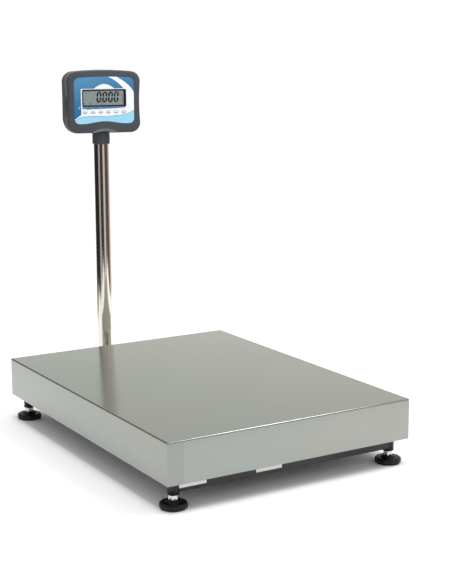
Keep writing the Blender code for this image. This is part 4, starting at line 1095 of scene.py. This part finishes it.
def grip_meshes(scene, wall=0.0):
    """Long shallow hollows in the casing's two sides, starting at the face, grown by a wall."""
    sizes = scene.scale_case
    half_width = CASE_HALF_WIDTH - sizes.waist
    thick, reach, tall = GRIP_BALL
    tools = []
    for side in (-1, 1):
        ball = bmesh.new()
        bmesh.ops.create_uvsphere(ball, u_segments=48, v_segments=32, radius=1.0)
        at = (side * (half_width - sizes.grip_depth + thick), FRONT_LOW.y + 0.018, CASE_MIDDLE_Z - 0.012)
        size = Matrix.Diagonal((thick + wall, reach + wall, tall + wall, 1))
        tools.append(moved(ball, Matrix.Translation(at) @ size))
    return tools


def arch_mesh(scene, front, sheen_band=0.0):
    """The cylinder whose side scoops the arch over the collar, deepest at the face."""
    sizes = scene.scale_case
    drop = sizes.arch_height * math.cos(ARCH_SLOPE)
    radius = (sizes.arch_width**2 / 4 + drop**2) / (2 * drop)
    level = FRONT_LOW.z + sizes.arch_height - radius / math.cos(ARCH_SLOPE)
    place = Matrix.Translation((0, front, level)) @ Matrix.Rotation(-math.radians(90) - ARCH_SLOPE, 4, "X")
    reach = 2 * radius
    return moved(prism(circle(radius + sheen_band, 160), -reach, reach), place)


def panel_outline(grow=0.0, hump=0.006, hump_width=0.056):
    """Outline of the printed panel: crowned top, and a hump in the middle of its foot."""
    width = PANEL_HIGH.x - PANEL_LOW.x + 2 * grow
    crown, radius = 0.003, 0.013 + grow
    height = PANEL_HIGH.z - PANEL_LOW.z - crown + 2 * grow
    centre_z = (PANEL_HIGH.z + PANEL_LOW.z - crown) / 2
    corners = ((1, 1, radius), (-1, 1, radius), (-1, -1, radius), (1, -1, radius))
    shaped = []
    for point in bowed(width, height, corners, centre_z, crown, 0.0, 8, 28):
        reach = abs(point.x) / hump_width
        rise = hump * (0.5 + 0.5 * math.cos(math.pi * reach)) if point.y < centre_z and reach < 1 else 0
        shaped.append(Vector((point.x, point.y + rise)))
    return shaped


WINDOW_CORNER = 0.003


def window_outline(grow=0.0):
    """Outline of the display window."""
    width, height = WINDOW_HIGH.x - WINDOW_LOW.x + 2 * grow, WINDOW_HIGH.z - WINDOW_LOW.z + 2 * grow
    outline = rounded_rectangle(width, height, WINDOW_CORNER + grow, 6)
    return shifted(outline, WINDOW_MIDDLE.x, WINDOW_MIDDLE.z)


def through(outline, front, back):
    """A cutter of one outline that reaches past both depths."""
    return slab(outline, front - PAST, back + PAST)


def on_case(name, mesh, tint, replaces=(), body="indicator", smooth=30):
    """Add a visible piece drawn in the casing's own axes."""
    return piece(name, mesh, tint, body, replaces, CASE, smooth)


def low_face(front, depth):
    """A block at the face, below its middle, as deep as the bead round the arch."""
    return box_mesh((-FRONT_HIGH.x, front - PAST, FRONT_LOW.z - PAST),
                    (FRONT_HIGH.x, front + depth, CASE_MIDDLE_Z))


def build_front_housing(scene):
    """Front shell: rounded bezel, recess for the panel, arch over the collar, hollows in the sides."""
    sizes = scene.scale_case
    front, split = FRONT_LOW.y, FRONT_HIGH.y
    floor = PANEL_HIGH.y + PLAY
    rings = []
    for step in range(9):
        angle = step / 8 * math.pi / 2
        inset = sizes.nose * (1 - math.sin(angle)) ** 1.15
        rings.append(case_ring(scene, inset, front + sizes.nose_depth * (1 - math.cos(angle))))
    rings += [case_ring(scene, 0, split - 2 * SEAM_STEP), case_ring(scene, SEAM_STEP, split - SEAM_STEP),
              case_ring(scene, SEAM_STEP, split)]
    inner = sizes.wall + 0.001
    hollow = loft([case_ring(scene, 0.010, floor + 0.0025), case_ring(scene, 0.0045, floor + 0.0065),
                   case_ring(scene, inner, floor + 0.0125), case_ring(scene, inner, split + PAST)])
    hollow = carve(hollow, pocket_meshes(sizes.wall) + grip_meshes(scene, sizes.wall))
    bead_bed = carve(arch_mesh(scene, front, sizes.arch_sheen_band), [low_face(front, BEAD_BED)], "INTERSECT")
    tools = [hollow, *pocket_meshes(), slab(panel_outline(0.0004), front - PAST, floor),
             slab(window_outline(PLAY), front - PAST, floor + PAST), arch_mesh(scene, front),
             *grip_meshes(scene), bead_bed]
    shell = carve(loft(rings), tools)
    on_case("bezel_shell", shell, "housing", ("front_housing",), smooth=32)
    # The pale bead round the arch: painted sheen, standing in for the light the scoop catches from below.
    fitted = [arch_mesh(scene, front, sizes.arch_sheen_band - BEAD_GAP), low_face(front, BEAD_BED - BEAD_GAP)]
    sheen_band = carve(loft(rings), fitted, "INTERSECT")
    sheen_band = carve(sheen_band, [arch_mesh(scene, front), *pocket_meshes()])
    on_case("arch_sheen_band", sheen_band, "sheen_band", smooth=32)


def build_rear_cover(scene):
    """Rear shell: tapered back with a slanted foot, vents and screws."""
    sizes = scene.scale_case
    split, back = REAR_LOW.y, REAR_HIGH.y
    lift = sizes.rear_lift
    rings = [case_ring(scene, SEAM_STEP, split), case_ring(scene, SEAM_STEP, split + SEAM_STEP),
             case_ring(scene, 0, split + 2 * SEAM_STEP)]
    depth = back - split
    for step in range(1, 11):
        t = step / 10
        at = split + depth * (1 - (1 - t) ** 1.25)
        rings.append(case_ring(scene, 0.0060 * t**6, at, lift * t**2.2, sizes.waist * (1 - t)))
    hollow = loft([case_ring(scene, sizes.wall + 0.001, split - PAST),
                   case_ring(scene, sizes.wall + 0.0025, split + depth * 0.5, lift * 0.35),
                   case_ring(scene, sizes.wall + 0.0125, back - sizes.wall, lift)])
    hollow = carve(hollow, pocket_meshes(sizes.wall) + grip_meshes(scene, sizes.wall))
    tools = [hollow, *pocket_meshes(), *grip_meshes(scene)]
    for index in range(VENT_COUNT):
        across = (index - VENT_COUNT // 2) * VENT_PITCH
        vent = shifted(rounded_rectangle(*VENT_SIZE), across, CASE_MIDDLE_Z + VENT_UP)
        tools.append(slab(vent, back - 0.008, back + 0.004))
    for across, level in COVER_SCREWS:
        tools.append(slab(shifted(circle(0.0046, 32), across, level), back - 0.0015, back + 0.004))
    on_case("rear_shell", carve(loft(rings), tools), "cover", ("rear_cover",), smooth=32)
    heads = []
    profile = ((0.0030, 0), (0.0036, 0.0002), (0.0036, 0.0008), (0.0028, 0.0013), (0.0012, 0.0015))
    for across, level in COVER_SCREWS:
        cross = [prism(rounded_rectangle(0.0042, 0.0008, 0.0002, 1), 0.0007, 0.003),
                 prism(rounded_rectangle(0.0008, 0.0042, 0.0002, 1), 0.0007, 0.003)]
        place = Matrix.Translation((across, back - 0.00145, level)) @ ALONG_Y
        heads.append(moved(carve(turned(profile, 32), cross), place))
    on_case("cover_screws", joined(heads), "zinc_plate")
    dress("tilt_pin", "zinc_plate")


# ------------------------------------------------------------------ panel, display and keys
PRINT_BLOCK = 0.002                         # thickness of a printed layer before it is pressed


def clipped_print(outline, front, film):
    """A printed layer: an outline kept inside the panel and pressed to a film's thickness."""
    block = slab(outline, front - PRINT_BLOCK, front)
    layer = carve(block, [through(panel_outline(-PLAY), front, front)], "INTERSECT")
    for vertex in layer.verts:
        vertex.co.y = front - (front - vertex.co.y) * film / PRINT_BLOCK
    return layer


def at_window(points):
    """Plane points measured from the window's middle, in millimetres, as places in the casing's axes."""
    return [Vector((WINDOW_MIDDLE.x + across / 1000, WINDOW_MIDDLE.z + up / 1000)) for across, up in points]


FOOT_LINE = (   # outlines of the print, in millimetres from the window's middle
    (-84, -59), (-76, -54.5), (-66, -49), (-54, -46.2), (-30, -45.2), (2, -46), (38, -43.8), (56, -40.5),
    (68, -36), (84, -27),
)
SWOOSH_TAIL = ((-84, -57.5), (-75, -51.5), (-66, -45.5), (-59, -41))
SWOOSH_CORNER = ((-59.3, -38), (-59.3, 19.5), (-58.6, 22), (-56, 23.3))
SWOOSH_INNER = ((50, 23.3), (47, 27), (41, 33), (32, 40.5), (22, 47), (10, 52.8), (3, 55.5))
SWOOSH_OUTER = ((22, 57), (30.5, 53), (47, 43.5), (61, 33), (72, 21), (79, 8))
DOME = ((-27.5, 22.5), (-18, 29), (-8, 33.5), (0, 34.8), (8, 33.5), (18, 29), (27.5, 22.5))
STRIP_TOP = ((-57, -22), (55, -22))
STRIP_FOOT = ((55, -24), (30, -25.5), (0, -26.5), (-30, -27.5), (-50, -28), (-57, -25))
LAMP_AT = (-64, -24)
LINE_WIDTH = 0.0009
KEY_COUNT = 6


def build_panel(scene):
    """The printed panel: blue ground, cyan foot, white swoosh round the keys, dome and lamp."""
    film = scene.scale_display.print_film
    front, back = PANEL_LOW.y, PANEL_HIGH.y
    ground = carve(slab(panel_outline(), front, back), [through(window_outline(PLAY), front, back)])
    ground = carve(ground, [key_hole(index, front) for index in range(KEY_COUNT)])
    on_case("panel_ground", ground, "panel_blue", ("display_panel",))

    foot_line = smooth_line(at_window(FOOT_LINE))
    line_top = shifted(reversed(foot_line), 0, LINE_WIDTH)
    tail, inner, outer = (smooth_line(at_window(line)) for line in (SWOOSH_TAIL, SWOOSH_INNER, SWOOSH_OUTER))
    corner = smooth_line(at_window(SWOOSH_CORNER), 4)
    lamp_at = at_window((LAMP_AT,))[0]
    layers = (  # name, outline, finish, and how many films thick
        ("panel_cyan_foot", foot_line + at_window(((84, -80), (-84, -80))), "panel_cyan", 1),
        ("panel_foot_line", foot_line + line_top, "panel_line", 2),
        ("panel_white_swoosh", tail + corner + inner + outer + line_top, "panel_white", 1),
        ("panel_dome", smooth_line(at_window(DOME)), "panel_white", 1),
        ("panel_blue_strip", at_window(STRIP_TOP) + smooth_line(at_window(STRIP_FOOT)), "panel_blue", 2),
        ("charge_lamp", shifted(rounded_rectangle(0.0042, 0.0068, 0.0012), *lamp_at), "lamp", 3),
    )
    holes = {
        "panel_white_swoosh": [through(window_outline(2 * PLAY), front, front)]
        + [key_hole(index, front) for index in range(KEY_COUNT)],
        "panel_blue_strip": [through(window_outline(2 * PLAY), front, front)],
    }
    for name, outline, tint, level in layers:
        layer = clipped_print(outline, front, film * level)
        if name in holes:
            layer = carve(layer, holes[name])
        on_case(name, layer, tint)


def key_hole(index, front):
    """The round hole of one key."""
    low, high = case_box(f"key_{index + 1}")
    hole = shifted(circle((high.x - low.x) / 2 + 0.0002, 64), (low.x + high.x) / 2, (low.z + high.z) / 2)
    return through(hole, front, front)


MARK_SINK = 0.00006                         # how far a key's printed mark reaches into its face
SIGN_UP = 0.0004                            # how far a key's sign sits above its middle


def arc_band(radius, width, start, stop, steps=20):
    """Plane outline of a stretch of ring."""
    angles = [math.radians(start + (stop - start) * step / steps) for step in range(steps + 1)]
    directions = [Vector((math.cos(angle), math.sin(angle))) for angle in angles]
    return [radius * way for way in directions] + [(radius - width) * way for way in reversed(directions)]


def bar(width, height, across=0.0, up=0.0):
    """Plane outline of a small bar."""
    return shifted(rounded_rectangle(width, height, min(width, height) * 0.4, 3), across, up)


def build_keys(scene):
    """Six embossed keys, each with its arc and a plain sign."""
    sizes = scene.scale_display
    signs = (
        ("key_red", (arc_band(0.0026, 0.0008, 20, 290), bar(0.0018, 0.0008, 0.0022, 0.0008))),
        ("key_arc", ([Vector((-0.0022, 0.0014)), Vector((0.0022, 0.0014)), Vector((0, -0.0018))],)),
        ("key_blue", (bar(0.0044, 0.0009), bar(0.0009, 0.0044))),
        ("key_green", ([Vector((-0.0022, -0.0016)), Vector((0.0022, -0.0016)), Vector((0, 0.0020))],)),
        ("key_arc", (bar(0.0048, 0.0010),)),
        ("key_red", (arc_band(0.0026, 0.0008, 130, 410), bar(0.0009, 0.0026, 0, 0.0018))),
    )
    for index, (tint, shapes) in enumerate(signs):
        name = f"key_{index + 1}"
        low, high = case_box(name)
        radius, face = (high.x - low.x) / 2, low.y
        across, up = (low.x + high.x) / 2, (low.z + high.z) / 2
        profile = ((radius * 0.55, 0.00005), (radius * 0.80, 0), (radius - 0.0007, 0.00005),
                   (radius - 0.0002, 0.0002), (radius, 0.0005), (radius, 0.0010), (0.0030, 0.0010),
                   (0.0030, high.y - low.y))
        stand = Matrix.Translation((across, face, up)) @ ALONG_Y
        piece(name + "_cap", turned(profile, 64), "panel_white", name, (name,), CASE @ stand)
        arc = shifted(arc_band(radius - 0.0004, sizes.arc_width, 195, 345), across, up)
        on_case(name + "_arc", slab(arc, face - 0.00010, face + MARK_SINK), "key_arc", body=name)
        signs_here = [shifted(shape, across, up + SIGN_UP) for shape in shapes]
        marks = [slab(sign, face - 0.00012, face + MARK_SINK) for sign in signs_here]
        on_case(name + "_sign", joined(marks), tint, body=name)


SEGMENTS = "abcdef"     # a nought lights every segment but the middle one


SEGMENT_GAP = 0.0003
INK_LIFT, INK_SINK = 0.00002, 0.0002
FIGURE_COUNT = 4
FIRST_FIGURE = (-0.0126, 0.0022)            # from the window's middle
POINT_RADIUS = 0.0014
SMALL_MARKS = (-0.0505, -0.0345)            # triangles along the display's foot
SMALL_MARK_UP = -0.0142
SMALL_TRIANGLE = ((-0.0022, 0.0016), (0.0022, 0.0016), (0, -0.0018))
UNIT_AT = (0.0462, -0.0050)
UNIT_TRIANGLE = ((0.0016, 0.0024), (-0.0016, 0), (0.0016, -0.0024))


def segment(name, width, height, stroke):
    """Outline of one segment of a figure, about the figure's middle."""
    half = stroke / 2
    right, left, top, bottom = width / 2 - half, half - width / 2, height / 2 - half, half - height / 2
    start, stop = (Vector(end) for end in {
        "a": ((left, top), (right, top)), "b": ((right, top), (right, 0)),
        "c": ((right, 0), (right, bottom)), "d": ((right, bottom), (left, bottom)),
        "e": ((left, bottom), (left, 0)), "f": ((left, 0), (left, top)),
    }[name])
    run = (stop - start).normalized()
    side = Vector((-run.y, run.x)) * half
    tip, tail, nib = start + run * SEGMENT_GAP, stop - run * SEGMENT_GAP, run * half
    return [tip, tip + nib + side, tail - nib + side, tail, tail - nib - side, tip + nib - side]


def build_display(scene):
    """Display behind its window: frame, reflective ground, four noughts, the point and small marks."""
    sizes = scene.scale_display
    low, high = case_box("lcd_module")
    deep, face = low.y, PANEL_LOW.y
    centre = Vector((WINDOW_MIDDLE.x, WINDOW_MIDDLE.z))
    body = box_mesh((low.x, deep + 0.0004, low.z), high)
    eased(on_case("display_module", body, "display_frame", ("lcd_module",)), 0.0004)
    ground = shifted(rounded_rectangle(0.1035, 0.0355, 0.001), centre.x - 0.0012, centre.y)
    on_case("display_ground", slab(ground, deep + 0.0001, deep + 0.00045), "display_ground")
    lean = math.tan(sizes.digit_slant)
    first = centre + Vector(FIRST_FIGURE)
    outlines = []
    for index in range(FIGURE_COUNT):
        for name in SEGMENTS:
            points = segment(name, sizes.digit_width, sizes.digit_height, sizes.stroke)
            leaning = [Vector((point.x + point.y * lean, point.y)) for point in points]
            outlines.append(shifted(leaning, first.x + index * sizes.digit_pitch, first.y))
    foot = -sizes.digit_height / 2
    point_at = first + Vector((sizes.digit_pitch / 2 + foot * lean, foot + POINT_RADIUS))
    outlines.append(shifted(circle(POINT_RADIUS, 20), *point_at))
    for across in SMALL_MARKS:
        mark = [Vector(corner) for corner in SMALL_TRIANGLE]
        outlines.append(shifted(mark, centre.x + across, centre.y + SMALL_MARK_UP))
    outlines.append(shifted([Vector(corner) for corner in UNIT_TRIANGLE], *(centre + Vector(UNIT_AT))))
    figures = [slab(outline, deep - INK_LIFT, deep + INK_SINK) for outline in outlines]
    on_case("display_figures", joined(figures), "display_ink")
    stations = ((-0.0001, face + 0.0006), (-0.0001, deep), (-0.0018, deep), (-0.0018, deep - 0.0006),
                (-0.0010, face + 0.0006))
    lip = loft([standing(window_outline(grow), depth) for grow, depth in stations], closed=True)
    on_case("window_surround", lip, "display_frame")
    pane = slab(window_outline(-0.0002), face - INK_LIFT, face + 0.0005)
    on_case("window_pane", pane, "clear_window", ("display_window",))
    dress("main_board", "board")
    dress("battery_pack", "battery", 0.001)


# ------------------------------------------------------------------ stage
FLOOR_LEVEL = -0.0003
FLOOR_TONE = (0.95, 0.95, 0.95)
SUN_STRENGTH, SUN_SPREAD = 1.25, math.radians(16)
EDGE_LIGHT, FRONT_FILL = 20, 6              # in watts
PAPER_STRENGTH, EVEN_STRENGTH = 1.05, 0.82  # the backdrop, and the light it sheds on matt surfaces
SKY = (0.80, 0.81, 0.81)


def build_floor(reach):
    """A pale floor under the scale."""
    mesh = bmesh.new()
    corners = ((-reach, -reach), (reach, -reach), (reach, reach), (-reach, reach))
    mesh.faces.new([mesh.verts.new((x, y, FLOOR_LEVEL)) for x, y in corners])
    data = mesh_data("floor", mesh)
    data.materials.append(surface("floor_paper", FLOOR_TONE, 0.85, tint=((3, 2), 0.01)))
    placed("floor", data)


def add_area(name, at, towards, size, power):
    """A soft square light."""
    data = bpy.data.lights.new(name, "AREA")
    data.shape = "SQUARE"
    data.size = size
    data.energy = power
    made = placed(name, data)
    made.location = at
    made.rotation_euler = (Vector(towards) - Vector(at)).to_track_quat("-Z", "Y").to_euler()
    return made


def bearing_ramp(tree, value, stops):
    """Colours round the room; each stop is a bearing in degrees from due left, and the colour there."""
    warmed = [(bearing / 360, tint if isinstance(tint, tuple) else (tint, tint * 0.985, tint * 0.955))
              for bearing, tint in stops]
    return colour_ramp(tree, value, warmed)


LOW_WALLS = (   # what the upright steel shows: dark screens and pale paper by turns
    (0, 0.02), (8, 0.025), (14, 0.42), (32, 0.50), (39, 0.05), (77, 0.04), (84, 0.62), (106, 0.68),
    (114, (0.10, 0.065, 0.05)), (168, (0.15, 0.10, 0.08)), (180, (0.62, 0.56, 0.50)),
    (236, (0.74, 0.70, 0.65)), (276, (0.62, 0.58, 0.52)), (286, 0.03), (359, 0.02),
)
HIGH_WALLS = (  # what the platter's top and its left edge show
    (0, 0.55), (100, 0.75), (180, 0.85), (222, (0.90, 0.86, 0.80)), (236, (0.86, 0.86, 0.80)),
    (250, (0.80, 0.84, 0.79)), (258, (0.76, 0.80, 0.76)), (268, 0.42), (300, 0.28), (340, 0.50), (359, 0.55),
)


def studio_world():
    """A pale studio with dark screens low down round it, so that polished steel has something to show."""
    world = bpy.data.worlds.new("studio")
    world.use_nodes = True
    tree = world.node_tree
    tree.nodes.clear()
    new, link = tree.nodes.new, tree.links.new
    coordinates = new("ShaderNodeTexCoord")
    split = new("ShaderNodeSeparateXYZ")
    link(coordinates.outputs["Generated"], split.inputs["Vector"])
    bearing = new("ShaderNodeMath")
    bearing.operation = "ARCTAN2"
    link(split.outputs["Y"], bearing.inputs[0])
    link(split.outputs["X"], bearing.inputs[1])
    spread = new("ShaderNodeMapRange")
    spread.inputs["From Min"].default_value = -math.pi
    spread.inputs["From Max"].default_value = math.pi
    link(bearing.outputs[0], spread.inputs["Value"])
    low = bearing_ramp(tree, spread.outputs["Result"], LOW_WALLS)
    high = bearing_ramp(tree, spread.outputs["Result"], HIGH_WALLS)

    def blend(start, stop, below, above):
        """Change from one colour to another between two heights on the sky."""
        height = new("ShaderNodeMapRange")
        height.inputs["From Min"].default_value = start
        height.inputs["From Max"].default_value = stop
        link(split.outputs["Z"], height.inputs["Value"])
        mixed = new("ShaderNodeMix")
        mixed.data_type = "RGBA"
        link(height.outputs["Result"], mixed.inputs["Factor"])
        link(below, mixed.inputs["A"])
        if isinstance(above, tuple):
            mixed.inputs["B"].default_value = (*above, 1)
        else:
            link(above, mixed.inputs["B"])
        return mixed.outputs["Result"]

    walls = blend(-0.02, 0.08, low, high)
    sky = blend(0.45, 0.70, walls, SKY)
    room = new("ShaderNodeBackground")
    link(sky, room.inputs["Color"])
    paper, even = new("ShaderNodeBackground"), new("ShaderNodeBackground")
    for lit, strength in ((paper, PAPER_STRENGTH), (even, EVEN_STRENGTH)):
        lit.inputs["Color"].default_value = (1, 1, 1, 1)
        lit.inputs["Strength"].default_value = strength
    path = new("ShaderNodeLightPath")
    soft = new("ShaderNodeMixShader")
    link(path.outputs["Is Diffuse Ray"], soft.inputs["Fac"])
    link(room.outputs["Background"], soft.inputs[1])
    link(even.outputs["Background"], soft.inputs[2])
    mix = new("ShaderNodeMixShader")
    link(path.outputs["Is Camera Ray"], mix.inputs["Fac"])
    link(soft.outputs["Shader"], mix.inputs[1])
    link(paper.outputs["Background"], mix.inputs[2])
    output = new("ShaderNodeOutputWorld")
    link(mix.outputs["Shader"], output.inputs["Surface"])
    bpy.context.scene.world = world


def add_sun(name):
    """A soft light straight from above, the same all over the floor."""
    data = bpy.data.lights.new(name, "SUN")
    data.energy = SUN_STRENGTH
    data.angle = SUN_SPREAD
    made = placed(name, data)
    made.location = (0, 0, 3)
    made.visible_glossy = False


def build_stage(scene):
    """Camera, floor and soft studio light."""
    settings = scene.scale_stage
    data = bpy.data.cameras.new("camera")
    data.lens = settings.lens
    data.sensor_width = 36
    data.clip_end = 50
    camera = placed("camera", data)
    forward = Vector((math.sin(settings.yaw) * math.cos(settings.pitch),
                      math.cos(settings.yaw) * math.cos(settings.pitch), -math.sin(settings.pitch)))
    right = Vector((math.cos(settings.yaw), -math.sin(settings.yaw), 0))
    up = right.cross(forward)
    turn = Matrix((right, up, -forward)).transposed() @ Matrix.Rotation(settings.roll, 3, "Z")
    camera.matrix_world = Matrix.Translation(settings.camera_at) @ turn.to_4x4()
    scene.camera = camera
    scene.view_settings.view_transform = "Standard"
    build_floor(settings.floor_reach)
    studio_world()
    add_sun("overhead")
    add_area("edge_light", (1.3, -1.0, 2.4), (0, -0.2, 0.1), 0.9, EDGE_LIGHT)
    fill = add_area("front_fill", (0.2, -2.9, 1.0), (0, 0.3, 0.7), 1.0, FRONT_FILL)
    fill.light_linking.receiver_collection = head_collection()


# ------------------------------------------------------------------ operators
class SCALE_OT_platter(bpy.types.Operator):
    """Build the stainless platter"""

    bl_idname = "bench_scale.platter"
    bl_label = "Platter"

    def execute(self, context):
        build_platter(context.scene)
        return {"FINISHED"}


class SCALE_OT_base(bpy.types.Operator):
    """Finish the welded base and load frame, with weld beads and labels"""

    bl_idname = "bench_scale.base"
    bl_label = "Base and load frame"

    def execute(self, context):
        build_base(context.scene)
        return {"FINISHED"}


class SCALE_OT_feet(bpy.types.Operator):
    """Build the levelling feet and locknuts"""

    bl_idname = "bench_scale.feet"
    bl_label = "Levelling feet"

    def execute(self, context):
        build_feet(context.scene)
        return {"FINISHED"}


class SCALE_OT_load_cell(bpy.types.Operator):
    """Finish the load cell, its hardware, buffers and stops"""

    bl_idname = "bench_scale.load_cell"
    bl_label = "Load cell"

    def execute(self, context):
        build_load_cell(context.scene)
        return {"FINISHED"}


class SCALE_OT_column(bpy.types.Operator):
    """Build the column, socket, level and signal cable"""

    bl_idname = "bench_scale.column"
    bl_label = "Column"

    def execute(self, context):
        build_column(context.scene)
        return {"FINISHED"}


class SCALE_OT_column_head(bpy.types.Operator):
    """Build the collar and neck that the casing turns and tilts on"""

    bl_idname = "bench_scale.column_head"
    bl_label = "Column head"

    def execute(self, context):
        build_column_head(context.scene)
        return {"FINISHED"}


class SCALE_OT_front_housing(bpy.types.Operator):
    """Build the casing's front shell"""

    bl_idname = "bench_scale.front_housing"
    bl_label = "Front housing"

    def execute(self, context):
        build_front_housing(context.scene)
        return {"FINISHED"}


class SCALE_OT_rear_cover(bpy.types.Operator):
    """Build the casing's rear shell and its screws"""

    bl_idname = "bench_scale.rear_cover"
    bl_label = "Rear cover"

    def execute(self, context):
        build_rear_cover(context.scene)
        return {"FINISHED"}


class SCALE_OT_panel(bpy.types.Operator):
    """Build the printed panel"""

    bl_idname = "bench_scale.panel"
    bl_label = "Printed panel"

    def execute(self, context):
        build_panel(context.scene)
        return {"FINISHED"}


class SCALE_OT_keys(bpy.types.Operator):
    """Build the six keys"""

    bl_idname = "bench_scale.keys"
    bl_label = "Keys"

    def execute(self, context):
        build_keys(context.scene)
        return {"FINISHED"}


class SCALE_OT_display(bpy.types.Operator):
    """Build the display, its figures and its window"""

    bl_idname = "bench_scale.display"
    bl_label = "Display"

    def execute(self, context):
        build_display(context.scene)
        return {"FINISHED"}


class SCALE_OT_stage(bpy.types.Operator):
    """Set up the camera, floor and studio light"""

    bl_idname = "bench_scale.stage"
    bl_label = "Stage"

    def execute(self, context):
        build_stage(context.scene)
        return {"FINISHED"}


OPERATORS = (
    SCALE_OT_platter, SCALE_OT_base, SCALE_OT_feet, SCALE_OT_load_cell, SCALE_OT_column,
    SCALE_OT_column_head, SCALE_OT_front_housing, SCALE_OT_rear_cover, SCALE_OT_panel, SCALE_OT_keys,
    SCALE_OT_display, SCALE_OT_stage,
)


class SCALE_PT_sidebar(bpy.types.Panel):
    """Buttons and settings of the bench scale"""

    bl_label = "Bench scale"
    bl_idname = "SCALE_PT_sidebar"
    bl_space_type = "VIEW_3D"
    bl_region_type = "UI"
    bl_category = "Bench scale"

    def draw(self, context):
        for operator in OPERATORS:
            self.layout.operator(operator.bl_idname)
        for group in GROUPS:
            settings = getattr(context.scene, group)
            box = self.layout.box()
            for name in settings.bl_rna.properties.keys():
                if name not in ("rna_type", "name"):
                    box.prop(settings, name)


CLASSES = (*GROUPS.values(), *OPERATORS, SCALE_PT_sidebar)


def register():
    """Add the classes and the settings."""
    for entry in CLASSES:
        bpy.utils.register_class(entry)
    for name, group in GROUPS.items():
        setattr(bpy.types.Scene, name, PointerProperty(type=group))


def unregister():
    """Take them away again."""
    for name in GROUPS:
        delattr(bpy.types.Scene, name)
    for entry in reversed(CLASSES):
        bpy.utils.unregister_class(entry)


def main():
    """Build every piece and the stage."""
    register()
    for operator in OPERATORS:
        group, name = operator.bl_idname.split(".")
        getattr(getattr(bpy.ops, group), name)()


if __name__ == "__main__":
    main()
